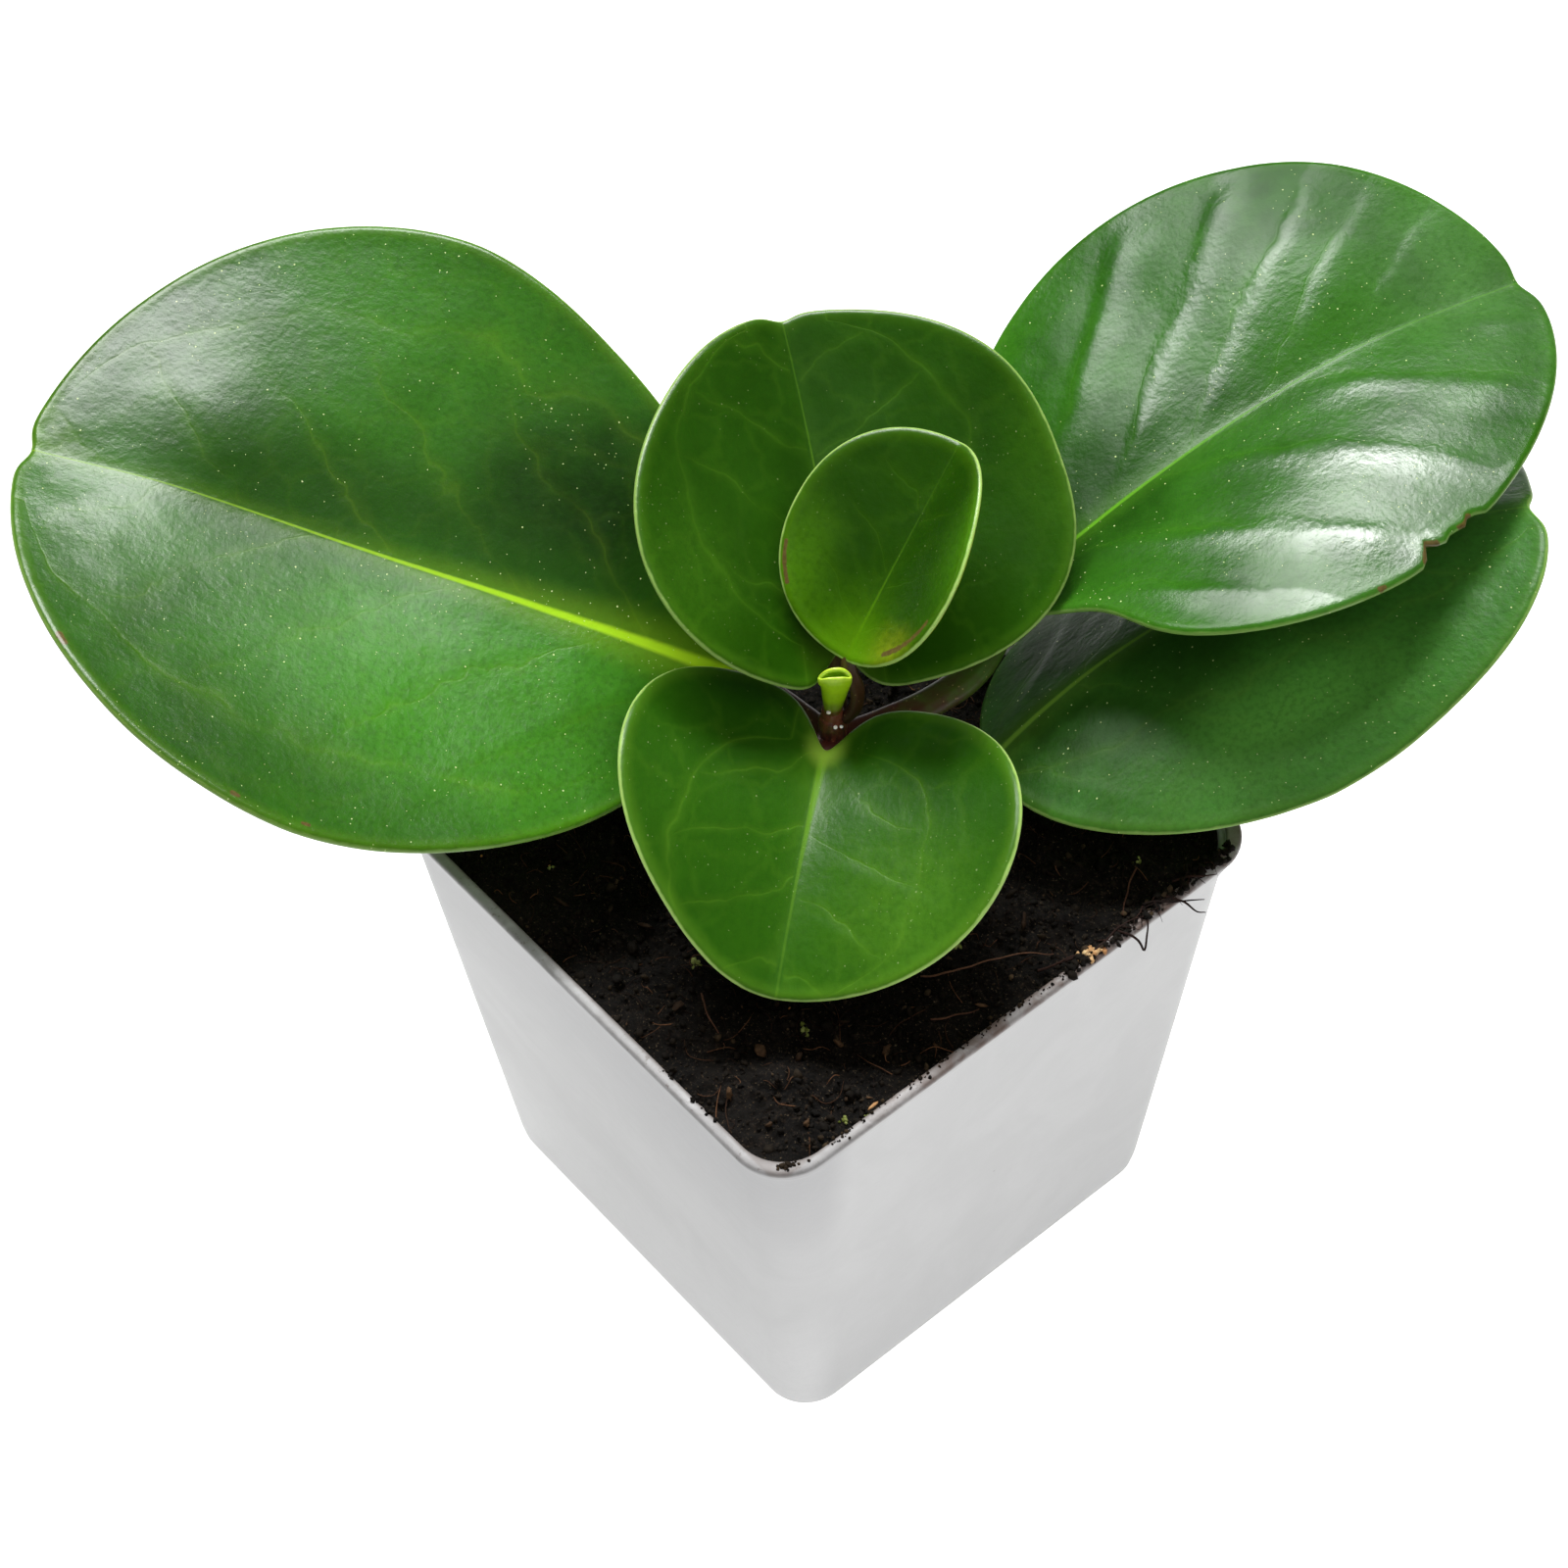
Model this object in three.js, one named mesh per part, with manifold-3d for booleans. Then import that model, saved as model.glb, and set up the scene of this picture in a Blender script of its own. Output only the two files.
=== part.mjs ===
// A young peperomia with six round fleshy leaves, growing in a square plastic nursery pot.
// Millimetres, +Z up. The origin is the centre of the pot's foot, and the pot's sides face +X, -X, +Y and -Y.
import * as THREE from "three";
import Module from "manifold-3d";

const wasm = await Module();
wasm.setup();

const DEG = Math.PI / 180;

// Pot. A half-width is measured from the middle to a flat side.
const POT_HEIGHT = 84;
const FOOT_HALF = 36.4;
const BASE_HALF = 37.2;
const BODY_TOP_HALF = 44.2;
const BAND_HALF = 44.8;
const LIP_HALF = 45.8;
const RIM_INNER_HALF = 44.0;
const LIP_HEIGHT = 1.3;
const BAND_HEIGHT = 2.8;
const WALL = 1.1;
const FLOOR_TOP = 3.2;
const FLOOR_UNDERSIDE = 1.9;
const BASE_CORNER = 7;
const TOP_CORNER = 8;
const FOOT_RING_WIDTH = 3.5;
const PAD_RADIUS = 11;
const DRAIN_RADIUS = 3.5;
const DRAIN_CIRCLE = 22;
const DRAIN_COUNT = 8;
const CORNER_STEPS = 7;

// Soil
const SOIL_LEVEL = 80.4;
const SOIL_LUMP = 0.8;
const SOIL_HEAP = 1.6;
const SOIL_RINGS = 11;
const GAP = 0.3;

// Stem
const STEM_PATH = [[0.9, 2.6, 66], [0.5, 3.2, 82], [0.1, 3.9, 95], [-0.2, 4.3, 104.2]];
const STEM_RADIUS = 2.3;
const STEM_TOP_RADIUS = 1.5;
const STEM_NODES = [89, 97.5, 101.5];

// Bud: a rolled leaf on a short neck, half-widths across and through at each point of its path.
const BUD_PATH = [[-0.1, 4.2, 104.5], [0.6, 3.9, 107], [1.3, 3.6, 110], [1.8, 3.4, 112.6], [2.1, 3.3, 114.6]];
const BUD_WIDTH = [1.3, 1.1, 1.5, 2.3, 1.5];
const BUD_DEPTH = [1.2, 0.9, 0.9, 1.0, 0.6];
const BUD_FACING = 142;
const BUD_STEPS = 14;
const BUD_SIDES = 14;

// Leaves. base is the point where the midrib leaves the leaf stalk, heading is measured from +X,
// pitch is the midrib's rise at the base, arch its droop along the blade, roll lifts the left half,
// twist adds roll towards the tip, fold is the rise of the left and right half at the midrib, cup
// their further rise at the margin, bow the sideways curve of the midrib. The outline is an oval of
// that length whose left and right halves have their own width and fullness: 2 is an ellipse, more is
// squarer. lean makes a half wider towards the tip, or towards the base where it is negative.
// A dome is a soft swelling: [along the midrib, to the left, radius, height].
// A dent is [angle, depth, half-angle], with 0 at the tip, 90 on the left and 180 at the base.
// stalk runs from the stem to the blade's base.
const LEAVES = {
  leaf_left: {
    base: [-17, 0, 100], heading: 220, pitch: 20, arch: 5, roll: -20, twist: 20, bow: 0,
    fold: [5, 12], cup: [8, 8], domes: [[80, -12, 18, 2.5]],
    length: 105, widths: [49, 49], fullness: [1.8, 1.8], lean: [0.03, 0.08],
    dents: [[0, 1.4, 3]], thickness: 1.6,
    stalk: [[-1.5, 4.0, 96.6], [-6.5, 3.4, 97.2], [-12, 2.2, 98.4]], stalkRadius: 2.0,
  },
  leaf_back: {
    base: [-4, 9, 109], heading: 150, pitch: 25, arch: -10, roll: 15, twist: -5, bow: -1,
    fold: [15, 15], cup: [5, 20], domes: [],
    length: 56, widths: [31, 35], fullness: [2, 2.7], lean: [-0.1, -0.08],
    dents: [[0, 1, 5], [180, 6, 8]], thickness: 1.4,
    stalk: [[-1.0, 5.4, 101], [-2.2, 6.8, 103.8], [-3.4, 7.8, 106.4]], stalkRadius: 1.4,
  },
  leaf_front: {
    base: [2, 1, 99], heading: -52, pitch: 0, arch: 30, roll: -5, twist: -5, bow: 0,
    fold: [20, 20], cup: [12, 8], domes: [],
    length: 46, widths: [32, 29], fullness: [2, 2], lean: [-0.03, -0.15],
    dents: [[180, 8, 12]], thickness: 1.4,
    stalk: [[0.7, 3.0, 97.8], [1.3, 2.1, 98.4]], stalkRadius: 1.5,
  },
  leaf_young: {
    base: [1, 6, 114], heading: 103, pitch: 35, arch: 0, roll: 0, twist: -5, bow: 0,
    fold: [15, 20], cup: [10, 22], domes: [],
    length: 34, widths: [17, 15], fullness: [2.2, 1.9], lean: [0, -0.1],
    dents: [], thickness: 1.2,
    stalk: [[0.5, 5.2, 101.4], [2.1, 6.4, 104.6], [2.5, 6.7, 108.5], [1.8, 6.2, 111.4]], stalkRadius: 1.0,
  },
  leaf_upper_right: {
    base: [3, 34, 106.5], heading: 78, pitch: 23, arch: 18, roll: -10, twist: 20, bow: 3,
    fold: [12, 18], cup: [-10, -28], domes: [[60, 12, 15, 2]],
    length: 90, widths: [41, 40], fullness: [2, 1.8], lean: [0, -0.03],
    dents: [[0, 1, 4], [205, 4, 14]], thickness: 1.5,
    stalk: [[0.7, 5.6, 97], [2.8, 11, 98], [5.2, 18, 99.6], [6.2, 25.5, 101.8]], stalkRadius: 2.2,
  },
  leaf_lower_right: {
    base: [15, 20, 93], heading: 65, pitch: 14, arch: -12, roll: 0, twist: -5, bow: 12,
    fold: [-22, 0], cup: [-5, -20], domes: [],
    length: 85, widths: [32, 37], fullness: [3.5, 1.75], lean: [0.2, 0],
    dents: [[0, 1.2, 4]], thickness: 1.5,
    stalk: [[1.5, 4.8, 89.4], [6, 9.5, 89.2], [12, 16, 91]], stalkRadius: 2.1,
  },
};
const LEAF_ROWS = 32;
const LEAF_BANDS = [0, 0.28, 0.55, 0.8];
const MARGIN_BEVEL = 0.9;
const STALK_SIDES = 10;
const MIDRIB_RUN = 0.3;

// Materials
const POT_MATERIAL = new THREE.MeshStandardMaterial({ color: 0xcfd0d1, roughness: 0.6, metalness: 0 });
const SOIL_MATERIAL = new THREE.MeshStandardMaterial({ color: 0x1d1512, roughness: 0.95, metalness: 0 });
const STEM_MATERIAL = new THREE.MeshStandardMaterial({ color: 0x4a2a20, roughness: 0.6, metalness: 0 });
const BUD_MATERIAL = new THREE.MeshStandardMaterial({ color: 0xa9cf3c, roughness: 0.45, metalness: 0 });
const LEAF_COLOURS = {
  leaf_left: 0x33722a,
  leaf_back: 0x2f7a1d,
  leaf_front: 0x4a8f28,
  leaf_young: 0x4b9420,
  leaf_upper_right: 0x3a6f35,
  leaf_lower_right: 0x2c6626,
};

// Solid from a list of corner positions and triangles
function solidFrom(positions, triangles) {
  return new wasm.Manifold(new wasm.Mesh({
    numProp: 3,
    vertProperties: new Float32Array(positions),
    triVerts: new Uint32Array(triangles),
  }));
}

// Closed solid through a stack of rings with the same number of points. The rings turn anticlockwise
// when seen from the last one, and each end is closed by a fan about its middle.
function loft(rings) {
  const positions = rings.flat(2);
  const n = rings[0].length;
  const triangles = [];
  for (let k = 0; k + 1 < rings.length; k++) {
    for (let i = 0; i < n; i++) {
      const a = k * n + i;
      const b = k * n + ((i + 1) % n);
      triangles.push(a, b, b + n, a, b + n, a + n);
    }
  }
  for (const end of [0, rings.length - 1]) {
    const ring = rings[end];
    const middle = [0, 1, 2].map((axis) => ring.reduce((sum, p) => sum + p[axis], 0) / n);
    const centre = positions.length / 3;
    positions.push(...middle);
    for (let i = 0; i < n; i++) {
      const a = end * n + i;
      const b = end * n + ((i + 1) % n);
      triangles.push(...(end === 0 ? [centre, b, a] : [centre, a, b]));
    }
  }
  return solidFrom(positions, triangles);
}

// Points of a square with rounded corners
function roundedSquare(half, corner, z) {
  const ring = [];
  for (let quarter = 0; quarter < 4; quarter++) {
    const middle = (quarter * 90 + 45) * DEG;
    const cx = Math.sign(Math.cos(middle)) * (half - corner);
    const cy = Math.sign(Math.sin(middle)) * (half - corner);
    for (let i = 0; i <= CORNER_STEPS; i++) {
      const angle = (quarter * 90 + (90 * i) / CORNER_STEPS) * DEG;
      ring.push([cx + corner * Math.cos(angle), cy + corner * Math.sin(angle), z]);
    }
  }
  return ring;
}

function circle(x, y, radius, z, sides) {
  return Array.from({ length: sides }, (_, i) => {
    const angle = (2 * Math.PI * i) / sides;
    return [x + radius * Math.cos(angle), y + radius * Math.sin(angle), z];
  });
}

const mix = (a, b, t) => a + (b - a) * t;

// Half-width of the pot's inner wall at a height
function innerHalf(z) {
  const bodyTop = POT_HEIGHT - LIP_HEIGHT - BAND_HEIGHT;
  return mix(BASE_HALF, BODY_TOP_HALF, z / bodyTop) - WALL;
}

function makePot() {
  const lipBottom = POT_HEIGHT - LIP_HEIGHT;
  const bandBottom = lipBottom - BAND_HEIGHT;
  const outside = loft([
    roundedSquare(FOOT_HALF, BASE_CORNER, 0),
    roundedSquare(FOOT_HALF, BASE_CORNER, 0.9),
    roundedSquare(BASE_HALF, BASE_CORNER, 1.5),
    roundedSquare(BODY_TOP_HALF, TOP_CORNER, bandBottom),
    roundedSquare(BAND_HALF, TOP_CORNER, bandBottom + 0.4),
    roundedSquare(BAND_HALF, TOP_CORNER, lipBottom - 0.1),
    roundedSquare(LIP_HALF, TOP_CORNER, lipBottom + 0.2),
    roundedSquare(LIP_HALF, TOP_CORNER, POT_HEIGHT - 0.3),
    roundedSquare(LIP_HALF - 0.3, TOP_CORNER - 0.3, POT_HEIGHT),
  ]);
  const inside = loft([
    roundedSquare(innerHalf(FLOOR_TOP) - 1.2, BASE_CORNER - 1.6, FLOOR_TOP),
    roundedSquare(innerHalf(FLOOR_TOP + 1.2), BASE_CORNER - WALL, FLOOR_TOP + 1.2),
    roundedSquare(innerHalf(bandBottom), TOP_CORNER - WALL, bandBottom),
    roundedSquare(RIM_INNER_HALF, TOP_CORNER - 0.8, lipBottom),
    roundedSquare(RIM_INNER_HALF, TOP_CORNER - 0.8, POT_HEIGHT + 1),
  ]);
  // The underside is hollow between a ring round the edge and a round pad in the middle.
  const hollow = loft([
    roundedSquare(FOOT_HALF - FOOT_RING_WIDTH, BASE_CORNER - 3, -1),
    roundedSquare(FOOT_HALF - FOOT_RING_WIDTH, BASE_CORNER - 3, FLOOR_UNDERSIDE),
  ]);
  const pad = loft([circle(0, 0, PAD_RADIUS, -2, 32), circle(0, 0, PAD_RADIUS, FLOOR_UNDERSIDE + 1, 32)]);
  let pot = outside.subtract(inside).subtract(hollow.subtract(pad));
  for (let i = 0; i < DRAIN_COUNT; i++) {
    const angle = (360 / DRAIN_COUNT) * (i + 0.5) * DEG;
    const x = DRAIN_CIRCLE * Math.cos(angle);
    const y = DRAIN_CIRCLE * Math.sin(angle);
    pot = pot.subtract(loft([circle(x, y, DRAIN_RADIUS, 0.5, 16), circle(x, y, DRAIN_RADIUS, 5, 16)]));
  }
  return pot;
}

// Height of the soil: low lumps, and a heap towards the right-hand side
function soilHeight(x, y) {
  const lumps = Math.sin(x * 0.31 + 1.3) * Math.cos(y * 0.27 - 0.4) + 0.6 * Math.sin(x * 0.53 - y * 0.47 + 2);
  const heap = Math.max(0, (x + y) / 80 - 0.1);
  return SOIL_LEVEL + SOIL_LUMP * lumps + SOIL_HEAP * heap;
}

function makeSoil() {
  const top = [];
  const edge = roundedSquare(1, TOP_CORNER / BODY_TOP_HALF, 0);
  for (let k = SOIL_RINGS; k >= 1; k--) {
    const reach = k / SOIL_RINGS;
    top.push(edge.map(([ex, ey]) => {
      const half = (innerHalf(SOIL_LEVEL) - GAP) * reach;
      const z = soilHeight(ex * half, ey * half);
      const fitted = (innerHalf(z) - GAP) * reach;
      return [ex * fitted, ey * fitted, z];
    }));
  }
  const lowHalf = innerHalf(FLOOR_TOP + 1.6) - GAP;
  const rings = [
    roundedSquare(lowHalf - 1.4, BASE_CORNER - 1.6, FLOOR_TOP + GAP),
    roundedSquare(lowHalf, BASE_CORNER - WALL, FLOOR_TOP + 1.6),
    ...top,
  ];
  return loft(rings);
}

// Tube along a smooth curve, with its sections square to the curve. across(t) and through(t) give its
// two half-widths.
function tube(points, across, through, steps, sides) {
  const curve = new THREE.CatmullRomCurve3(points.map((p) => new THREE.Vector3(...p)), false, "centripetal");
  const side = new THREE.Vector3();
  const rings = [];
  for (let k = 0; k <= steps; k++) {
    const t = k / steps;
    const centre = curve.getPointAt(t);
    const along = curve.getTangentAt(t);
    if (k === 0) {
      const steep = Math.abs(along.z) > 0.8;
      side.crossVectors(new THREE.Vector3(steep ? 1 : 0, 0, steep ? 0 : 1), along);
    }
    side.addScaledVector(along, -side.dot(along)).normalize();
    const up = new THREE.Vector3().crossVectors(along, side);
    const ring = [];
    for (let i = 0; i < sides; i++) {
      const angle = (2 * Math.PI * i) / sides;
      const p = centre.clone();
      p.addScaledVector(side, across(t) * Math.cos(angle));
      p.addScaledVector(up, through(t) * Math.sin(angle));
      ring.push(p.toArray());
    }
    rings.push(ring);
  }
  return loft(rings);
}

// Radius of the stem, a little thicker at each node
function stemRadius(t, extra) {
  const z = mix(STEM_PATH[0][2], STEM_PATH[STEM_PATH.length - 1][2], t);
  const swelling = STEM_NODES.reduce((sum, node) => sum + 0.3 * Math.exp(-(((z - node) / 1.6) ** 2)), 0);
  return mix(STEM_RADIUS, STEM_TOP_RADIUS, t ** 4) + swelling + extra;
}

function makeStem(extra) {
  const path = STEM_PATH.map((p) => [...p]);
  path[0][2] -= extra;
  path[path.length - 1][2] += extra;
  return tube(path, (t) => stemRadius(t, extra), (t) => stemRadius(t, extra), 26, 20);
}

// Value of a list of stations at t from 0 to 1
function along(list, t) {
  const k = Math.min(Math.floor(t * (list.length - 1)), list.length - 2);
  return mix(list[k], list[k + 1], t * (list.length - 1) - k);
}

function makeBud() {
  const curve = new THREE.CatmullRomCurve3(BUD_PATH.map((p) => new THREE.Vector3(...p)));
  const aside = (BUD_FACING - 90) * DEG;
  const across = new THREE.Vector3(Math.cos(aside), Math.sin(aside), 0);
  const rings = [];
  for (let k = 0; k <= BUD_STEPS; k++) {
    const t = k / BUD_STEPS;
    const centre = curve.getPoint(t);
    const through = new THREE.Vector3().crossVectors(curve.getTangent(t), across).normalize();
    rings.push(Array.from({ length: BUD_SIDES }, (_, i) => {
      const angle = (2 * Math.PI * i) / BUD_SIDES;
      const p = centre.clone();
      p.addScaledVector(across, along(BUD_WIDTH, t) * Math.cos(angle));
      p.addScaledVector(through, along(BUD_DEPTH, t) * Math.sin(angle));
      return p.toArray();
    }));
  }
  return loft(rings);
}

// Reach of a blade's outline from its middle at an angle in degrees: a leaning oval, less its dents
function outlineReach(leaf, angle) {
  const turned = ((((angle + 180) % 360) + 360) % 360) - 180;
  const hand = turned >= 0 ? 0 : 1;
  const power = leaf.fullness[hand];
  const ahead = Math.cos(turned * DEG);
  const across = Math.abs(Math.sin(turned * DEG));
  const oval = (Math.abs(ahead) / (leaf.length / 2)) ** power + (across / leaf.widths[hand]) ** power;
  let reach = oval ** (-1 / power) * (1 + 2 * leaf.lean[hand] * across ** 2 * ahead);
  for (const [at, depth, width] of leaf.dents) {
    const off = ((angle - at + 540) % 360) - 180;
    reach -= depth * Math.exp(-((off / width) ** 2));
  }
  return reach;
}

// Sideways and upward run of a curve that starts at an angle and turns evenly
function arcRun(start, turn, length) {
  const bend = Math.abs(turn) < 1e-6 ? 1e-6 : turn;
  const end = start + bend * length;
  return [(Math.sin(end) - Math.sin(start)) / bend, (Math.cos(start) - Math.cos(end)) / bend];
}

// Point and upward normal of a blade's middle surface, s along the midrib from the base and y to the left
function bladePoint(leaf, s, y) {
  const length = outlineReach(leaf, 0) + outlineReach(leaf, 180);
  const heading = leaf.heading * DEG;
  const ahead = new THREE.Vector3(Math.cos(heading), Math.sin(heading), 0);
  const left = new THREE.Vector3(-Math.sin(heading), Math.cos(heading), 0);
  const up = new THREE.Vector3(0, 0, 1);
  const droop = (-leaf.arch * DEG) / length;
  const [run, rise] = arcRun(leaf.pitch * DEG, droop, s);
  const slope = leaf.pitch * DEG + droop * s;
  const tangent = ahead.clone().multiplyScalar(Math.cos(slope)).addScaledVector(up, Math.sin(slope));
  const level = new THREE.Vector3().crossVectors(tangent, left);
  const roll = (leaf.roll + (leaf.twist * s) / length) * DEG;
  const side = left.clone().multiplyScalar(Math.cos(roll)).addScaledVector(level, Math.sin(roll));
  const normal = left.clone().multiplyScalar(-Math.sin(roll)).addScaledVector(level, Math.cos(roll));
  const half = (leaf.widths[0] + leaf.widths[1]) / 2;
  const hand = y >= 0 ? 0 : 1;
  const [out, lift] = arcRun(leaf.fold[hand] * DEG, (leaf.cup[hand] * DEG) / half, Math.abs(y));
  let swelling = 0;
  for (const [ds, dy, radius, height] of leaf.domes) {
    swelling += height * Math.exp(-((s - ds) ** 2 + (y - dy) ** 2) / radius ** 2);
  }
  const bow = leaf.bow * 4 * (s / length) * (1 - s / length);
  const point = new THREE.Vector3(...leaf.base);
  point.addScaledVector(ahead, run).addScaledVector(up, rise);
  point.addScaledVector(side, Math.sign(y) * out + bow).addScaledVector(normal, lift + swelling);
  return { point, normal };
}

// Normal of the bent surface itself, from two short steps on it
function surfaceNormal(leaf, s, y) {
  const step = 0.05;
  const here = bladePoint(leaf, s, y).point;
  const forward = bladePoint(leaf, s + step, y).point.sub(here);
  const y2 = y >= 0 ? y + step : y - step;
  const sideways = bladePoint(leaf, s, y2).point.sub(here).multiplyScalar(y >= 0 ? 1 : -1);
  return forward.cross(sideways).normalize();
}

// Blade: rows run from the midrib to the outline, on an upper and an under face that meet at the margin.
function makeBlade(leaf) {
  const length = outlineReach(leaf, 0) + outlineReach(leaf, 180);
  const baseReach = outlineReach(leaf, 180);
  const positions = [];
  const add = (p) => positions.push(...p.toArray()) / 3 - 1;
  const rows = [];
  for (let i = 0; i <= LEAF_ROWS; i++) {
    const w = i / LEAF_ROWS;
    const u = w - 0.1 * Math.sin(2 * Math.PI * w);
    const ribX = length * (0.5 * u + 0.25 * (1 - Math.cos(Math.PI * u)));
    if (i === 0 || i === LEAF_ROWS) {
      rows.push({ end: add(bladePoint(leaf, i === 0 ? 0 : length, 0).point) });
      continue;
    }
    const row = { upper: {}, under: {}, rim: {} };
    for (const hand of [1, -1]) {
      const angle = 180 * (1 - u);
      const reach = outlineReach(leaf, hand * angle);
      const rimX = baseReach + reach * Math.cos(angle * DEG);
      const rimY = hand * reach * Math.sin(angle * DEG);
      const across = Math.hypot(rimX - ribX, rimY);
      const bands = [...LEAF_BANDS, 1 - Math.min(0.12, MARGIN_BEVEL / across)];
      row.upper[hand] = [];
      row.under[hand] = [];
      bands.forEach((t, j) => {
        if (j === 0 && hand === -1) {
          row.upper[hand].push(row.upper[1][0]);
          row.under[hand].push(row.under[1][0]);
          return;
        }
        const s = mix(ribX, rimX, t);
        const y = mix(0, rimY, t);
        const { point, normal } = bladePoint(leaf, s, y);
        const out = j === 0 ? normal : surfaceNormal(leaf, s, y);
        const half = (leaf.thickness / 2) * (1 - 0.2 * t * t);
        row.upper[hand].push(add(point.clone().addScaledVector(out, half)));
        row.under[hand].push(add(point.clone().addScaledVector(out, -half)));
      });
      row.rim[hand] = add(bladePoint(leaf, rimX, rimY).point);
    }
    rows.push(row);
  }
  const triangles = [];
  const face = (a, b, c, flip) => triangles.push(...(flip ? [a, c, b] : [a, b, c]));
  for (const hand of [1, -1]) {
    const flip = hand < 0;
    for (const [side, turn] of [["upper", flip], ["under", !flip]]) {
      const strip = (row) => [...row[side][hand], row.rim[hand]];
      for (let i = 1; i + 1 < LEAF_ROWS; i++) {
        const a = strip(rows[i]);
        const b = strip(rows[i + 1]);
        for (let j = 0; j + 1 < a.length; j++) {
          face(a[j], b[j], b[j + 1], turn);
          face(a[j], b[j + 1], a[j + 1], turn);
        }
      }
      const first = strip(rows[1]);
      const last = strip(rows[LEAF_ROWS - 1]);
      for (let j = 0; j + 1 < first.length; j++) {
        face(rows[0].end, first[j], first[j + 1], turn);
        face(last[j], rows[LEAF_ROWS].end, last[j + 1], turn);
      }
    }
  }
  return solidFrom(positions, triangles);
}

// Leaf stalk: from inside the stem to the blade, then tapering away under the midrib
function makeStalk(leaf) {
  const length = outlineReach(leaf, 0) + outlineReach(leaf, 180);
  const r = leaf.stalkRadius;
  const path = leaf.stalk.map((p) => [...p]);
  for (const [share, drop] of [[0.01, 0.75], [0.1, 0.62], [MIDRIB_RUN, 0.35]]) {
    const { point, normal } = bladePoint(leaf, share * length, 0);
    path.push(point.addScaledVector(normal, -drop * r).toArray());
  }
  const thinning = (t) => mix(1.15, 1, Math.min(1, t * 4)) * (t < 0.55 ? 1 : mix(1, 0.35, (t - 0.55) / 0.45));
  return tube(path, (t) => 1.1 * r * thinning(t), (t) => 0.9 * r * thinning(t), 16, STALK_SIDES);
}

function makeLeaf(leaf) {
  return makeBlade(leaf).add(makeStalk(leaf)).subtract(makeStem(GAP));
}

// Three.js mesh of a solid
function meshOf(name, solid, material) {
  const { vertProperties, triVerts } = solid.getMesh();
  const geometry = new THREE.BufferGeometry();
  geometry.setAttribute("position", new THREE.BufferAttribute(Float32Array.from(vertProperties), 3));
  geometry.setIndex(new THREE.BufferAttribute(Uint32Array.from(triVerts), 1));
  geometry.computeVertexNormals();
  const mesh = new THREE.Mesh(geometry, material);
  mesh.name = name;
  return mesh;
}

const plant = new THREE.Group();
plant.name = "potted_peperomia";
plant.add(meshOf("pot", makePot(), POT_MATERIAL));
plant.add(meshOf("soil", makeSoil().subtract(makeStem(GAP)), SOIL_MATERIAL));
plant.add(meshOf("stem", makeStem(0), STEM_MATERIAL));
plant.add(meshOf("bud", makeBud().subtract(makeStem(GAP)), BUD_MATERIAL));
for (const [name, leaf] of Object.entries(LEAVES)) {
  const look = { color: LEAF_COLOURS[name], roughness: 0.4, metalness: 0 };
  const material = new THREE.MeshStandardMaterial(look);
  plant.add(meshOf(name, makeLeaf(leaf), material));
}

export default plant;
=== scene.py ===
import math

import bmesh
import bpy
import numpy as np
from mathutils import Matrix, Vector
from mathutils.geometry import delaunay_2d_cdt


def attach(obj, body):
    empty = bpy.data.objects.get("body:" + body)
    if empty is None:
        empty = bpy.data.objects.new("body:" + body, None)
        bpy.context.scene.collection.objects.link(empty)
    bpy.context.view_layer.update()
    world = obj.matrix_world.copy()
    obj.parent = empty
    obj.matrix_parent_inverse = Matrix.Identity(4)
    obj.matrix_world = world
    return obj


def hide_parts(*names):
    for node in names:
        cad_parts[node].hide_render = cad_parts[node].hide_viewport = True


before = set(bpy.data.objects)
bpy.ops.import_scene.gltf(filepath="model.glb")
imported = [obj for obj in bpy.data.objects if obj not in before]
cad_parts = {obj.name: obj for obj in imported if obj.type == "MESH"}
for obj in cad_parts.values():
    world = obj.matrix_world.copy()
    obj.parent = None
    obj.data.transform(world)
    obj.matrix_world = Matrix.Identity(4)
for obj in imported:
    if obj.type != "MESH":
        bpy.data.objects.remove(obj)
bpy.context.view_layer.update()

# Formulas are in millimetres and degrees, meshes in metres.
MM = 0.001

# Camera of the photograph
CAMERA_AZIMUTH = -38.0
CAMERA_ELEVATION = 50.6
CAMERA_ROLL = -2.9
CAMERA_DISTANCE = 560
CAMERA_SHIFT = (-7.0, 57.8)
FOCAL_SHARE = 3500 / 1600
SENSOR = 36

# Pot, as half-widths of a square with rounded corners
POT_HEIGHT = 84
BODY_TOP = 79.9
BASE_HALF = 37.2
BODY_TOP_HALF = 44.2
BASE_CORNER = 7
TOP_CORNER = 8
CORNER_STEPS = 14
SIDE_STEPS = 12
WALL = 1.1
FLOOR_TOP = 3.2
FLOOR_UNDERSIDE = 1.9
PAD_RADIUS = 11
DRAIN_RADIUS = 3.5
DRAIN_CIRCLE = 22
DRAIN_COUNT = 8
ROUNDING = 0.2
DRAIN_ROUNDING = 0.15

# Soil, and how far from the middle the bits on it may lie
SOIL_LEVEL = 80.4
SOIL_GAP = 0.12
CRUMB_REACH = 43.0
FIBRE_REACH = 42
SOIL_CORNER = 36.5
STEM_PLACE = (0.5, 3.2)
STEM_ROOM = 3.2

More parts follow.
